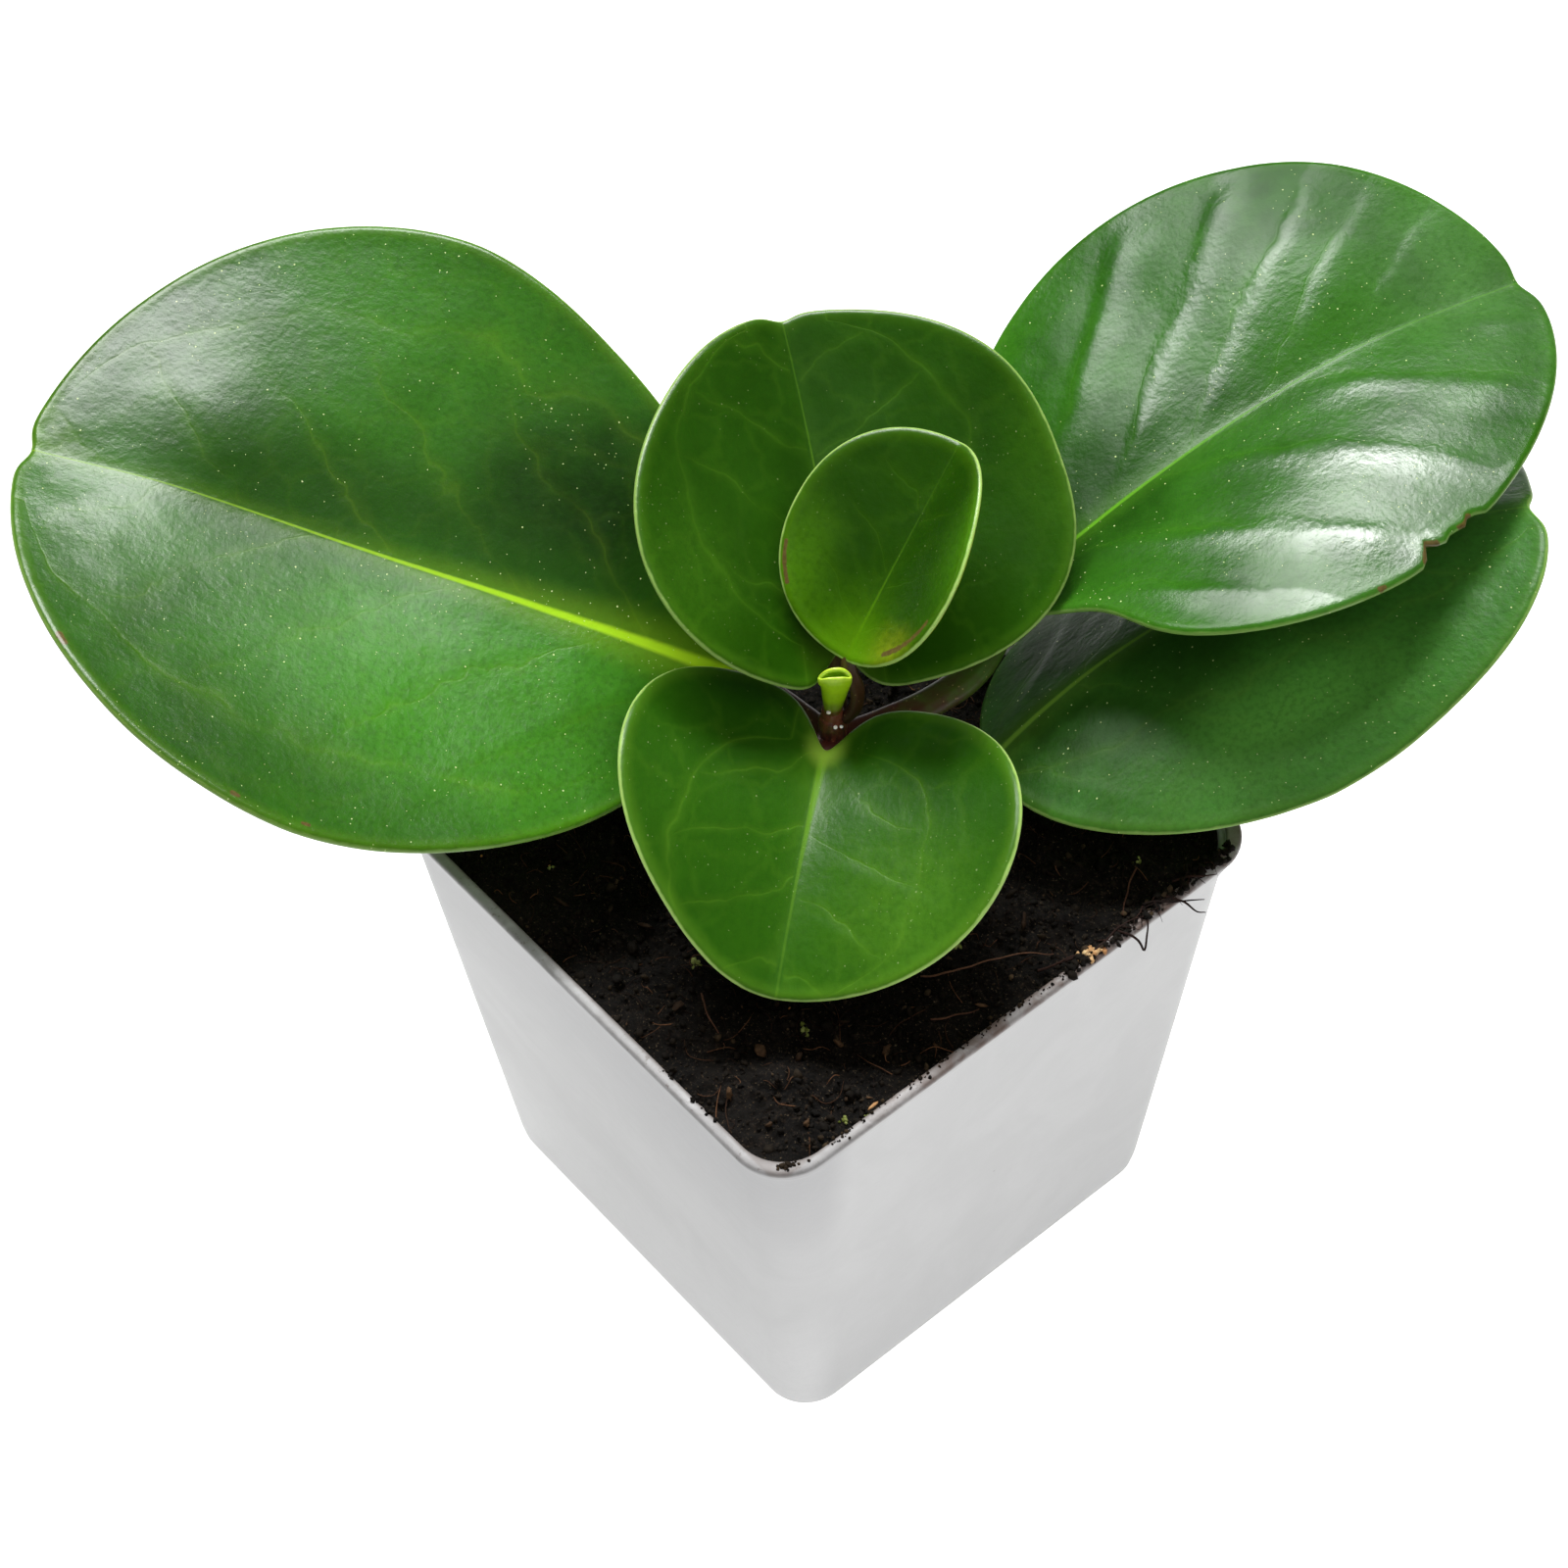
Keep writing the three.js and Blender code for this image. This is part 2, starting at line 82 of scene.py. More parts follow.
STEM_PATH = [[0.9, 2.6, 66], [0.5, 3.2, 82], [0.1, 3.9, 95], [-0.2, 4.3, 104.2]]
STEM_NODES = [89, 97.5, 101.5]
BUD_WIDTHS = ((0, 0.13, 0.4, 0.68, 0.9, 1), (1.35, 1.3, 1.65, 2.0, 2.2, 2.15))
BUD_DEPTHS = ((0, 0.13, 0.4, 0.68, 0.9, 1), (1.25, 1.2, 1.4, 1.4, 1.05, 0.72))
BUD_PATH = [[-0.1, 4.2, 103.6], [0.6, 3.9, 107], [1.3, 3.6, 110], [1.8, 3.4, 112.6], [2.1, 3.3, 114.6]]
BUD_FACING = 142
BUD_LIP = 0.24
BUD_SIDES = 44

# Leaves: see the part's source for the form. laterals are where the side veins leave the midrib on
# the left and on the right half, slant how far they lean, arcs the shares of the width where a vein
# runs from base to tip, quilt the rise of the blade between side veins and waves its gentle unevenness.
# rib is what the midrib's half-width gains towards the base, and the half-width at the tip.
# scars are brown marks along the margin: first and last angle as for a dent, inset, half-width.
# Patches are spots of colour, most of them painted sheen, painted light and painted shade, a few the
# leaf's own tone: place along and across, half-length, half-width, strength, which is negative for
# the dark tone, and a colour where it has its own.
LEAVES = {
    "leaf_left": dict(
        base=[-17, 0, 100], heading=220, pitch=20, arch=5, roll=-20, twist=20, bow=0,
        fold=[5, 12], cup=[8, 8], domes=[[80, -12, 18, 2.5]],
        length=105, widths=[49, 49], fullness=[1.8, 1.8], lean=[0.03, 0.08],
        dents=[[0, 1.4, 3]], thickness=1.6,
        stalk=[[-1.5, 4.0, 96.6], [-6.5, 3.4, 97.2], [-12, 2.2, 98.4]], stalk_radius=2.0,
        laterals=[[-22, 2, 20, 41, 63, 84, 110], [-25, -4, 14, 33, 52, 72, 95]], slant=1.15, arcs=[0.7],
        quilt=0.14, waves=0.45, rib=[1.15, 0.14], seed=3,
        scars=[[40, 42, 0.8, 0.6], [79, 80, 1.2, 0.5], [91, 92, 1.5, 0.4]],
        shade_sheen_and_tone_patches=[[40, 20, 30, 22, 0.7], [24, 6, 18, 8, 0.5], [64, 38, 16, 12, -0.4], [60, -32, 18, 16, 0.35],
                 [24, -15, 22, 16, 0.85, (13, 36, 3)], [62, -6, 30, 9, -0.7], [92, 24, 12, 16, -0.45]],
    ),
    "leaf_back": dict(
        base=[-4, 9, 109], heading=150, pitch=25, arch=-10, roll=15, twist=-5, bow=-1,
        fold=[15, 15], cup=[5, 20], domes=[],
        length=56, widths=[31, 35], fullness=[2, 2.7], lean=[-0.1, -0.08],
        dents=[[0, 1, 5], [180, 6, 8]], thickness=1.4,
        stalk=[[-1.0, 5.4, 101], [-2.2, 6.8, 103.8], [-3.4, 7.8, 106.4]], stalk_radius=1.4,
        laterals=[[-30, -14, 3, 15, 28, 41, 60], [-30, -12, 1, 13, 27, 39, 60]], slant=0.75, arcs=[0.68],
        quilt=0.08, waves=0.3, rib=[0.25, 0.16], seed=5, scars=[],
        shade_sheen_and_tone_patches=[[6, -18, 12, 10, -0.8], [10, 24, 12, 8, 0.5], [24, -33, 14, 5, 0.5]],
    ),
    "leaf_front": dict(
        base=[2, 1, 99], heading=-52, pitch=0, arch=30, roll=-5, twist=-5, bow=0,
        fold=[20, 20], cup=[12, 8], domes=[],
        length=46, widths=[32, 29], fullness=[2, 2], lean=[-0.03, -0.15],
        dents=[[180, 8, 12]], thickness=1.4,
        stalk=[[0.7, 3.0, 97.8], [1.3, 2.1, 98.4]], stalk_radius=1.5,
        laterals=[[-30, -10, 4, 13, 23, 33, 50], [-30, -12, 2, 11, 21, 31, 50]], slant=0.6, arcs=[0.66],
        quilt=0.1, waves=0.3, rib=[0.8, 0.25], seed=7, scars=[], shade_sheen_and_tone_patches=[[26, 18, 12, 12, 0.6]],
    ),
    "leaf_young": dict(
        base=[1, 6, 114], heading=103, pitch=35, arch=0, roll=0, twist=-5, bow=0,
        fold=[15, 20], cup=[10, 22], domes=[],
        length=34, widths=[17, 15], fullness=[2.2, 1.9], lean=[0, -0.1],
        dents=[], thickness=1.2,
        stalk=[[0.5, 5.2, 101.4], [2.1, 6.4, 104.6], [2.5, 6.7, 108.5], [1.8, 6.2, 111.4]], stalk_radius=1.0,
        laterals=[[-18, -5, 4, 13, 22, 36], [-18, -6, 3, 11, 21, 36]], slant=0.8, arcs=[],
        quilt=0.05, waves=0.15, rib=[0.3, 0.1], seed=11,
        scars=[[112, 132, 0.8, 0.4], [206, 240, 1.6, 0.6]],
        shade_sheen_and_tone_patches=[[8, 13, 9, 5, 0.8], [2, 0, 8, 12, 0.6], [26, -13, 14, 5, 0.7, (66, 120, 16)],
                 [2, -8, 5, 5, 0.8, (122, 134, 22)]],
    ),
    "leaf_upper_right": dict(
        base=[3, 34, 106.5], heading=78, pitch=23, arch=18, roll=-10, twist=20, bow=3,
        fold=[12, 18], cup=[-10, -28], domes=[[60, 12, 15, 2]],
        length=90, widths=[41, 40], fullness=[2, 1.8], lean=[0, -0.03],
        dents=[[0, 1, 4], [205, 4, 14], [278, 2.5, 2], [284, 1.5, 3.5], [290, 1.5, 2]], thickness=1.5,
        stalk=[[0.7, 5.6, 97], [2.8, 11, 98], [5.2, 18, 99.6], [6.2, 25.5, 101.8]], stalk_radius=2.2,
        laterals=[[-52, -34, -18, -1, 17, 33, 46, 60, 76, 95], [-48, -27, -9, 7, 29, 53, 76, 95]],
        slant=1.55, arcs=[], quilt=0.52, waves=0.4, rib=[0.45, 0.18], seed=13,
        scars=[[264, 265, 0.4, 0.5], [275, 280, 0.2, 0.5], [286, 290, 0.2, 0.4]],
        shade_sheen_and_tone_patches=[[30, 5, 20, 10, -0.4], [16, 6, 14, 16, 0.7, (20, 48, 8)],
                 [80, 3, 12, 22, 0.15, (128, 160, 116)]],
    ),
    "leaf_lower_right": dict(
        base=[15, 20, 93], heading=65, pitch=14, arch=-12, roll=0, twist=-5, bow=12,
        fold=[-22, 0], cup=[-5, -20], domes=[],
        length=85, widths=[32, 37], fullness=[3.5, 1.75], lean=[0.2, 0],
        dents=[[0, 1.2, 4]], thickness=1.5,
        stalk=[[1.5, 4.8, 89.4], [6, 9.5, 89.2], [12, 16, 91]], stalk_radius=2.1,
        laterals=[[-20, 0, 18, 37, 57, 80], [-20, -3, 16, 36, 58, 85]], slant=1.1, arcs=[0.45],
        quilt=0.2, waves=0.4, rib=[0.5, 0.16], seed=17, scars=[],
        shade_sheen_and_tone_patches=[[40, -24, 20, 9, 0.6, (98, 168, 66)], [24, -2, 18, 12, -0.5],
                 [22, 14, 18, 8, 0.6, (34, 58, 18)], [17, 23, 7, 4, 0.7, (120, 132, 112)],
                 [54, -37, 26, 10, 0.6, (40, 80, 24)]],
    ),
}
LEAF_ROWS = 150
LEAF_COLUMNS = 38
MARGIN_COLUMNS = 6
MARGIN_BEVEL = 0.9
STALK_POINTS = 90
STALK_SIDES = 28


# Number helpers

def mix(a, b, t):
    return a + (b - a) * t


def smooth(low, high, x):
    t = np.clip((x - low) / (high - low), 0, 1)
    return t * t * (3 - 2 * t)


def hump(x, width):
    """1 at 0, falling smoothly to either side."""
    return np.exp(-((x / width) ** 2))


def half_turn(angle):
    """The same angle from -180 to 180."""
    return (np.asarray(angle, float) + 180) % 360 - 180


def circle(sides):
    return np.radians(np.arange(sides) * 360 / sides)


def unit(v):
    return v / np.linalg.norm(v, axis=-1, keepdims=True)


def flat_places(x, y, size):
    """Places (x, y, 0) in units of size."""
    return np.stack([x, y, np.zeros_like(x)], -1) / size


def wobble(points, seed=0):
    """Smooth value noise from -1 to 1 at points (..., 3), one cell per unit."""
    points = np.asarray(points, float)
    cell = np.floor(points).astype(np.int64)
    part = points - cell
    part = part * part * (3 - 2 * part)
    total = np.zeros(points.shape[:-1])
    for corner in np.ndindex(2, 2, 2):
        h = seed * 40503 + 17
        weight = 1.0
        for axis, prime in enumerate((73856093, 19349663, 83492791)):
            h = h ^ ((cell[..., axis] + corner[axis]) * prime)
            weight = weight * (part[..., axis] if corner[axis] else 1 - part[..., axis])
        h = (h * 2246822519) & 0xFFFFFFFF
        h = ((h ^ (h >> 15)) * 3266489917) & 0xFFFFFFFF
        total += weight * ((h ^ (h >> 13)) / 2**31 - 1)
    return total


def rough(points, octaves, seed=0):
    """Sum of wobbles, each half the size and strength of the one before."""
    return sum(wobble(points * 2**k + 9.7 * k, seed + k) / 2**k for k in range(octaves))


def spline(knots, count):
    """Evenly spaced points on a smooth curve through the knots."""
    knots = np.asarray(knots, float)
    padded = np.vstack([2 * knots[0] - knots[1], knots, 2 * knots[-1] - knots[-2]])
    t = np.linspace(0, 1, 25)[:, None]
    fine = []
    for k in range(len(knots) - 1):
        a, b, c, d = padded[k:k + 4]
        square, cube = 2 * a - 5 * b + 4 * c - d, 3 * b - a - 3 * c + d
        fine.append(0.5 * (2 * b + (c - a) * t + square * t**2 + cube * t**3))
    fine = np.vstack([f[:-1] for f in fine] + [fine[-1][-1:]])
    run = np.concatenate([[0], np.cumsum(np.linalg.norm(np.diff(fine, axis=0), axis=1))])
    at = np.linspace(0, run[-1], count)
    return np.stack([np.interp(at, run, fine[:, axis]) for axis in range(3)], -1)


# Mesh helpers

def add_piece(name, points, faces, materials, groups=None, attributes=(), crease=None):
    """Smooth mesh object from points in mm. groups gives each face its material."""
    mesh = bpy.data.meshes.new(name)
    mesh.from_pydata((np.asarray(points) * MM).tolist(), [], [list(f) for f in faces])
    for material in materials:
        mesh.materials.append(material)
    if groups is not None:
        mesh.polygons.foreach_set("material_index", np.asarray(groups, np.int32))
    for key, values in dict(attributes).items():
        values = np.asarray(values, np.float32)
        kind, field = ("FLOAT", "value") if values.ndim == 1 else ("FLOAT_VECTOR", "vector")
        mesh.attributes.new(key, kind, "POINT").data.foreach_set(field, values.ravel())
    mesh.shade_smooth()
    if crease:
        mesh.set_sharp_from_angle(angle=math.radians(crease))
    mesh.update()
    piece = bpy.data.objects.new(name, mesh)
    bpy.context.scene.collection.objects.link(piece)
    return piece


def join(parts):
    """Points and faces of several meshes as one."""
    points, faces, start = [], [], 0
    for p, f in parts:
        points.append(np.asarray(p))
        faces.extend([[v + start for v in face] for face in f])
        start += len(p)
    return np.vstack(points), faces


def quads(index):
    """Faces between the points of a grid."""
    return np.stack([index[:-1, :-1], index[1:, :-1], index[1:, 1:], index[:-1, 1:]], -1).reshape(-1, 4)


def skin(rings, close=True):
    """Faces through rings of equal length, with a fan at each end where it is closed."""
    rings = np.asarray(rings)
    count, around = rings.shape[:2]
    points = rings.reshape(-1, 3)
    i, j = np.meshgrid(np.arange(count - 1), np.arange(around), indexing="ij")
    a = i * around + j
    b = i * around + (j + 1) % around
    faces = np.stack([a, b, b + around, a + around], -1).reshape(-1, 4).tolist()
    if close:
        first, last = len(points), len(points) + 1
        points = np.vstack([points, rings[0].mean(0), rings[-1].mean(0)])
        faces += [[first, (k + 1) % around, k] for k in range(around)]
        top = (count - 1) * around
        faces += [[last, top + k, top + (k + 1) % around] for k in range(around)]
    return points, faces


def tube(path, across, through, sides, lift=None):
    """Closed tube along a path. across and through are its half-widths at each point."""
    along = unit(np.gradient(path, axis=0))
    up = [0, 0, 1.0] if abs(along[0][2]) < 0.8 else [1.0, 0, 0]
    side = np.cross(up, along[0])
    turn = circle(sides)
    rings = []
    for k in range(len(path)):
        side = unit(side - along[k] * (side @ along[k]))
        over = np.cross(along[k], side)
        ring = path[k] + np.outer(across[k] * np.cos(turn), side) + np.outer(through[k] * np.sin(turn), over)
        rings.append(ring if lift is None else ring + lift(k, turn, side, over))
    return skin(rings)


def rounded_square(half, corner, z):
    """Points of a square with rounded corners, anticlockwise."""
    ring = []
    span = 2 * (half - corner)
    for quarter in range(4):
        middle = math.radians(quarter * 90 + 45)
        cx, cy = (math.copysign(half - corner, f(middle)) for f in (math.cos, math.sin))
        for i in range(CORNER_STEPS + 1):
            a = math.radians(quarter * 90 + 90 * i / CORNER_STEPS)
            ring.append([cx + corner * math.cos(a), cy + corner * math.sin(a), z])
        ax, ay = ring[-1][:2]
        dx, dy = -math.sin(a), math.cos(a)
        for i in range(1, SIDE_STEPS):
            ring.append([ax + dx * span * i / SIDE_STEPS, ay + dy * span * i / SIDE_STEPS, z])
    return np.array(ring)


# Materials

def linear(colour):
    """Linear colour from 0-255 display values."""
    return tuple(c / 255 / 12.92 if c <= 10 else ((c / 255 + 0.055) / 1.055) ** 2.4 for c in colour) + (1.0,)


class Value:
    """Output of a node. A sum written with it becomes math nodes."""

    def __init__(self, finish, socket):
        self.finish = finish
        self.socket = socket

    def scaled(self, factor, offset):
        return self.finish.math("MULTIPLY_ADD", self, factor, offset)


def sum_method(operation):
    return lambda *values: values[0].finish.math(operation, *values)


for key, operation in {"add": "ADD", "sub": "SUBTRACT", "mul": "MULTIPLY", "truediv": "DIVIDE",
                       "pow": "POWER", "lt": "LESS_THAN", "abs": "ABSOLUTE"}.items():
    setattr(Value, f"__{key}__", sum_method(operation))


class Finish:
    """A node material, short names for its nodes, and the colour and bumps made so far."""

    def __init__(self, name, soft=None, coat=None, **fixed):
        self.material = bpy.data.materials.new(name)
        self.material.use_nodes = True
        self.tree = self.material.node_tree
        self.tree.nodes.clear()
        self.shader = self.node("ShaderNodeBsdfPrincipled")
        out = self.node("ShaderNodeOutputMaterial")
        self.tree.links.new(self.shader.outputs[0], out.inputs[0])
        if soft:
            self.set(Subsurface_Weight=soft[0], Subsurface_Scale=soft[1], Subsurface_Radius=soft[2])
        if coat:
            self.set(Coat_Weight=coat[0], Coat_Roughness=coat[1])
        self.set(**fixed)
        self.colour = None
        self.normal = None

    def feed(self, value, socket):
        if isinstance(value, Value):
            self.tree.links.new(value.socket, socket)
        else:
            socket.default_value = value

    def set(self, **values):
        for key, value in values.items():
            self.feed(value, self.shader.inputs[key.replace("_", " ")])

    def node(self, kind, inputs=(), **settings):
        made = self.tree.nodes.new(kind)
        for key, value in settings.items():
            setattr(made, key, value)
        for key, value in dict(inputs).items():
            self.feed(value, made.inputs[key])
        return made

    def value(self, kind, inputs=(), output=0, **settings):
        return Value(self, self.node(kind, inputs, **settings).outputs[output])

    def math(self, operation, *values, clamp=False):
        return self.value("ShaderNodeMath", dict(enumerate(values)), operation=operation, use_clamp=clamp)

    def maximum(self, a, b):
        return self.math("MAXIMUM", a, b)

    def distance(self, a, b):
        return self.math("SQRT", a * a + b * b)

    def vector(self, operation, *values):
        return self.value("ShaderNodeVectorMath", dict(enumerate(values)), operation=operation)

    def step(self, value, low, high, start=0.0, end=1.0):
        """Smooth change from start to end between low and high."""
        inputs = {"Value": value, "From Min": low, "From Max": high, "To Min": start, "To Max": end}
        return self.value("ShaderNodeMapRange", inputs, interpolation_type="SMOOTHSTEP")

    def band(self, value, rise, fall, amount=1.0):
        """Rises over the first range and falls to 0 over the second."""
        return self.step(value, *rise) * self.step(value, *fall, amount, 0)

    def line(self, off, fine, wide, strength):
        """A fine line with soft flanks, where off is 0."""
        return self.step(off, 0.0, fine, strength, 0) + self.step(off, 0.0, wide, 1 - strength, 0)

    def attribute(self, name, output="Vector"):
        return self.value("ShaderNodeAttribute", attribute_name=name, output=output)

    def split(self, vector):
        return [Value(self, out) for out in self.node("ShaderNodeSeparateXYZ", {"Vector": vector}).outputs]

    def combine(self, x, y, z):
        return self.value("ShaderNodeCombineXYZ", {"X": x, "Y": y, "Z": z})

    def place(self, scale=1000.0):
        """Place in the part's frame, in mm unless scaled."""
        return self.vector("MULTIPLY", self.value("ShaderNodeTexCoord", output="Object"), (scale,) * 3)

    def noise(self, vector, size, detail=2.0, roughness=0.5, distortion=0.0, output=0):
        """Noise from 0 to 1 whose cells are size long."""
        inputs = {"Vector": vector, "Scale": 1 / size, "Detail": detail, "Roughness": roughness,
                  "Distortion": distortion}
        return self.value("ShaderNodeTexNoise", inputs, output)

    def cells(self, vector, size, dimensions="3D"):
        """Distance from the middle of a cell, and two chance values that each cell has."""
        inputs = {"Vector": vector, "Scale": 1 / size}
        made = self.node("ShaderNodeTexVoronoi", inputs, voronoi_dimensions=dimensions)
        chances = self.split(Value(self, made.outputs["Color"]))
        return Value(self, made.outputs["Distance"]), chances[0], chances[1]

    def dots(self, vector, size, radius):
        return self.cells(vector, size)[0] < radius

    def blend(self, factor, a, b):
        a, b = (linear(colour) if isinstance(colour, tuple) else colour for colour in (a, b))
        return self.value("ShaderNodeMix", {0: factor, 6: a, 7: b}, 2, data_type="RGBA")

    def paint(self, factor, tone):
        self.colour = self.blend(factor, self.colour, tone)

    def bump(self, height, depth):
        """Add a bump whose height from 0 to 1 is depth mm deep."""
        inputs = {"Strength": 1.0, "Distance": depth * MM, "Height": height}
        if self.normal:
            inputs["Normal"] = self.normal
        self.normal = self.value("ShaderNodeBump", inputs)

    def finish(self, roughness, **linked):
        self.set(Base_Color=self.colour, Roughness=roughness, **linked)
        if self.normal:
            self.set(Normal=self.normal)
        return self.material


EDGE_TONE = (160, 192, 104)
DOT_TONE = (200, 216, 150)
SCAR_TONES = ((58, 50, 20), (104, 88, 44))
VEIN_BELOW = (168, 190, 96)


def leaf_finish(name, leaf, dark, light, painted_light_and_pale_tone, rib, under, gloss=0.26, shine=0.28, coat=0.08,
                speckle=0.5, veins=0.1, net=0.25, midrib=0.9, rim=0.8, grain=0.04, base_tint=None,
                wax=(0, 12), streaks=0.0):
    """Blade of a peperomia: waxy skin, pale midrib, faint side veins, pale margin and tiny pale dots."""
    f = Finish(name, soft=(0.12, 0.0016, (0.35, 1.0, 0.12)), coat=(coat, 0.14))
    s, y, margin = f.split(f.attribute("leaf"))
    phase, arc_phase, upper = f.split(f.attribute("veins"))
    flat = f.combine(s, y, leaf["seed"] * 10)
    off_rib = abs(y)

    mottle = f.noise(flat, 5, 3, 0.6, 0.3)
    f.colour = f.blend(f.step(f.noise(flat, 26, 2, 0.5, 0.4), 0.3, 0.7), dark, light)
    f.paint(f.step(mottle, 0.35, 0.7, 0, 0.4), light)
    # Painted sheen, painted light and painted shade in patches, with a few spots of the leaf's own tone
    for at_s, at_y, long, wide, amount, *own in leaf["shade_sheen_and_tone_patches"]:
        off = f.distance((s - at_s) / long, (y - at_y) / wide) + mottle.scaled(0.5, -0.25)
        tone = own[0] if own else painted_light_and_pale_tone if amount > 0 else dark
        f.paint(f.step(off, 0.0, 1.6, abs(amount), 0), tone)
    f.paint(f.step(f.noise(flat, 0.9, 3, 0.65), 0.4, 0.7, 0, 0.35), dark)

    # Side veins, arcs and a faint net: soft bands with a thin line in the middle, a little broken up
    phase = phase + f.noise(flat, 8).scaled(0.6, -0.3)
    arc_phase = arc_phase + f.noise(flat, 11).scaled(0.24, -0.12)
    side_vein = f.line(abs(f.math("FRACT", phase + 0.5) - 0.5), 0.03, 0.16, 0.55)
    vein = side_vein * f.step(off_rib, 0.3, 1.0) * f.step(arc_phase, 0.45, 0.8, 1, 0)
    for share in leaf["arcs"]:
        vein = f.maximum(vein, f.line(abs(arc_phase - share), 0.016, 0.07, 0.5))
    stray = f.vector("MULTIPLY_ADD", f.noise(flat, 1 / 0.3, output=1), (5.0,) * 3, flat)
    net_edge = f.value("ShaderNodeTexVoronoi", {"Vector": stray, "Scale": 1 / 9}, voronoi_dimensions="2D",
                       feature="DISTANCE_TO_EDGE")
    vein = f.maximum(vein, f.step(net_edge, 0.0, 0.12, 1, 0) * net)
    vein = vein * f.step(f.noise(flat, 14), 0.3, 0.65, 0.25, 1)
    f.paint(vein * veins, rib)

    # Midrib: a band that narrows towards the tip
    share = f.math("SUBTRACT", 1.0, s / sum(ends(leaf)), clamp=True)
    wide = (share ** 2.6).scaled(*leaf["rib"])
    on_rib = f.step(off_rib / wide, 0.35, 1.3, 1, 0) * f.step(share, 0.15, 0.9, 0.3, 1)
    glow = f.step(off_rib / (wide + 0.4), 0.4, 5.0, 0.2, 0) * f.step(share, 0.3, 0.9, 0.25, 1)
    f.paint(glow * midrib, rib)
    f.paint(on_rib * midrib, rib)
    if base_tint:
        tone, spread = base_tint
        f.paint(f.step(f.distance(s, y), spread * 0.15, spread, 0.85, 0), tone)

    # Margin: a paler band, then a thin almost white line on the edge
    f.paint(f.step(margin, 0.4, 2.6, 0.22 * rim, 0), rib)
    f.paint(f.step(margin + f.noise(flat, 2.5) * 0.3, 0.2, 0.5, rim, 0), EDGE_TONE)

    # Tiny pale dots, denser in places
    off, chance, large = f.cells(flat, 0.95, "2D")
    crowd = f.step(f.noise(flat, 11, 3, 0.65), 0.42, 0.72, 0.02, 0.25)
    dot = (off < (large ** 5.0).scaled(0.075, 0.065)) * (chance < crowd) * speckle
    f.paint(dot, DOT_TONE)

    # Brown scars. Their angle is that of the outline formula.
    scar = 0.0
    if leaf["scars"]:
        turn = f.math("ARCTAN2", y, s - ends(leaf)[1]) * (180 / math.pi)
        turn = f.math("FLOORED_MODULO", turn, 360)
        brown = f.blend(f.noise(flat, 0.5), *SCAR_TONES)
    for first, last, inset, wide in leaf["scars"]:
        past_end = f.maximum(abs(turn - (first + last) / 2) - (last - first) / 2, 0)
        off = f.distance((margin - inset) / wide, past_end * (math.radians(leaf["length"] / 2) / wide))
        scar = f.maximum(scar, f.step(off + f.noise(flat, 0.8) * 0.9, 0.95, 1.35, 1, 0))
    if leaf["scars"]:
        f.paint(scar, brown)

    # Underside: pale, with the veins showing through
    below = f.blend(f.step(mottle, 0.3, 0.8), under, light)
    below = f.blend(f.maximum(vein, on_rib) * 0.5, below, VEIN_BELOW)
    below = f.blend(f.dots(flat, 1.1, 0.16) * 0.18, below, dark)
    if leaf["scars"]:
        below = f.blend(scar, below, brown)
    f.colour = f.blend(f.step(upper, 0.35, 0.5), below, f.colour)

    f.bump(f.noise(flat, 3.2), 0.07)
    f.bump(vein, -0.03)
    f.bump(f.noise(flat, 0.8, 2, 0.6), grain)
    f.bump(dot, 0.03)
    roughness = f.noise(flat, 7, 3).scaled(0.1, gloss) + f.step(upper, 0.35, 0.5, 0.14, 0)
    roughness = roughness + f.maximum(dot, on_rib) * 0.2
    waxy = f.step(s + mottle.scaled(8.0, -4.0), *wax, 0.2 * shine, shine) * on_rib.scaled(-0.85, 1.0)
    if streaks:
        # Glints along the far side of each side vein
        past = abs(f.math("FRACT", phase) - f.step(y, -0.2, 0.2, 1, 0))
        streak = f.band(past, (0.02, 0.1), (0.12, 0.6)) * f.step(off_rib, 3.0, 9.0)
        waxy = waxy * streak.scaled(1.9 * streaks, 1.0 - 0.6 * streaks)
        # Duller towards the far margin and the tip, glossier on the near half
        waxy = waxy * (f.step(y, 12, 30, 1, 0.4) * f.step(s, 54, 74, 1, 0.3)) * f.step(y, -24, -8, 1.7, 1)
    return f.finish(roughness, Specular_IOR_Level=waxy)


def stalk_finish(name, start, middle, end):
    """Leaf stalk, reddish brown from the stem and green towards the blade, with fine streaks."""
    f = Finish(name, soft=(0.12, 0.0012, (0.8, 0.8, 0.25)), coat=(0.1, 0.25), Specular_IOR_Level=0.45)
    run, turn, _ = f.split(f.attribute("stalk"))
    at = f.place()
    share = run + f.noise(at, 2.2, 3).scaled(0.5, -0.25)
    f.colour = f.blend(f.step(share, 0.05, 0.5), start, middle)
    f.paint(f.step(share, 0.5, 0.95), end)
    streak = f.noise(f.combine(run * 2.0, turn, 0.0), 0.22, 3, 0.6)
    f.paint(f.step(streak, 0.4, 0.7, 0, 0.3), start)
    f.paint(f.dots(at, 0.9, 0.13) * 0.35, (196, 170, 120))
    f.bump(streak, 0.05)
    f.bump(f.noise(at, 0.5), 0.02)
    return f.finish(streak.scaled(0.15, 0.38))


# Leaves

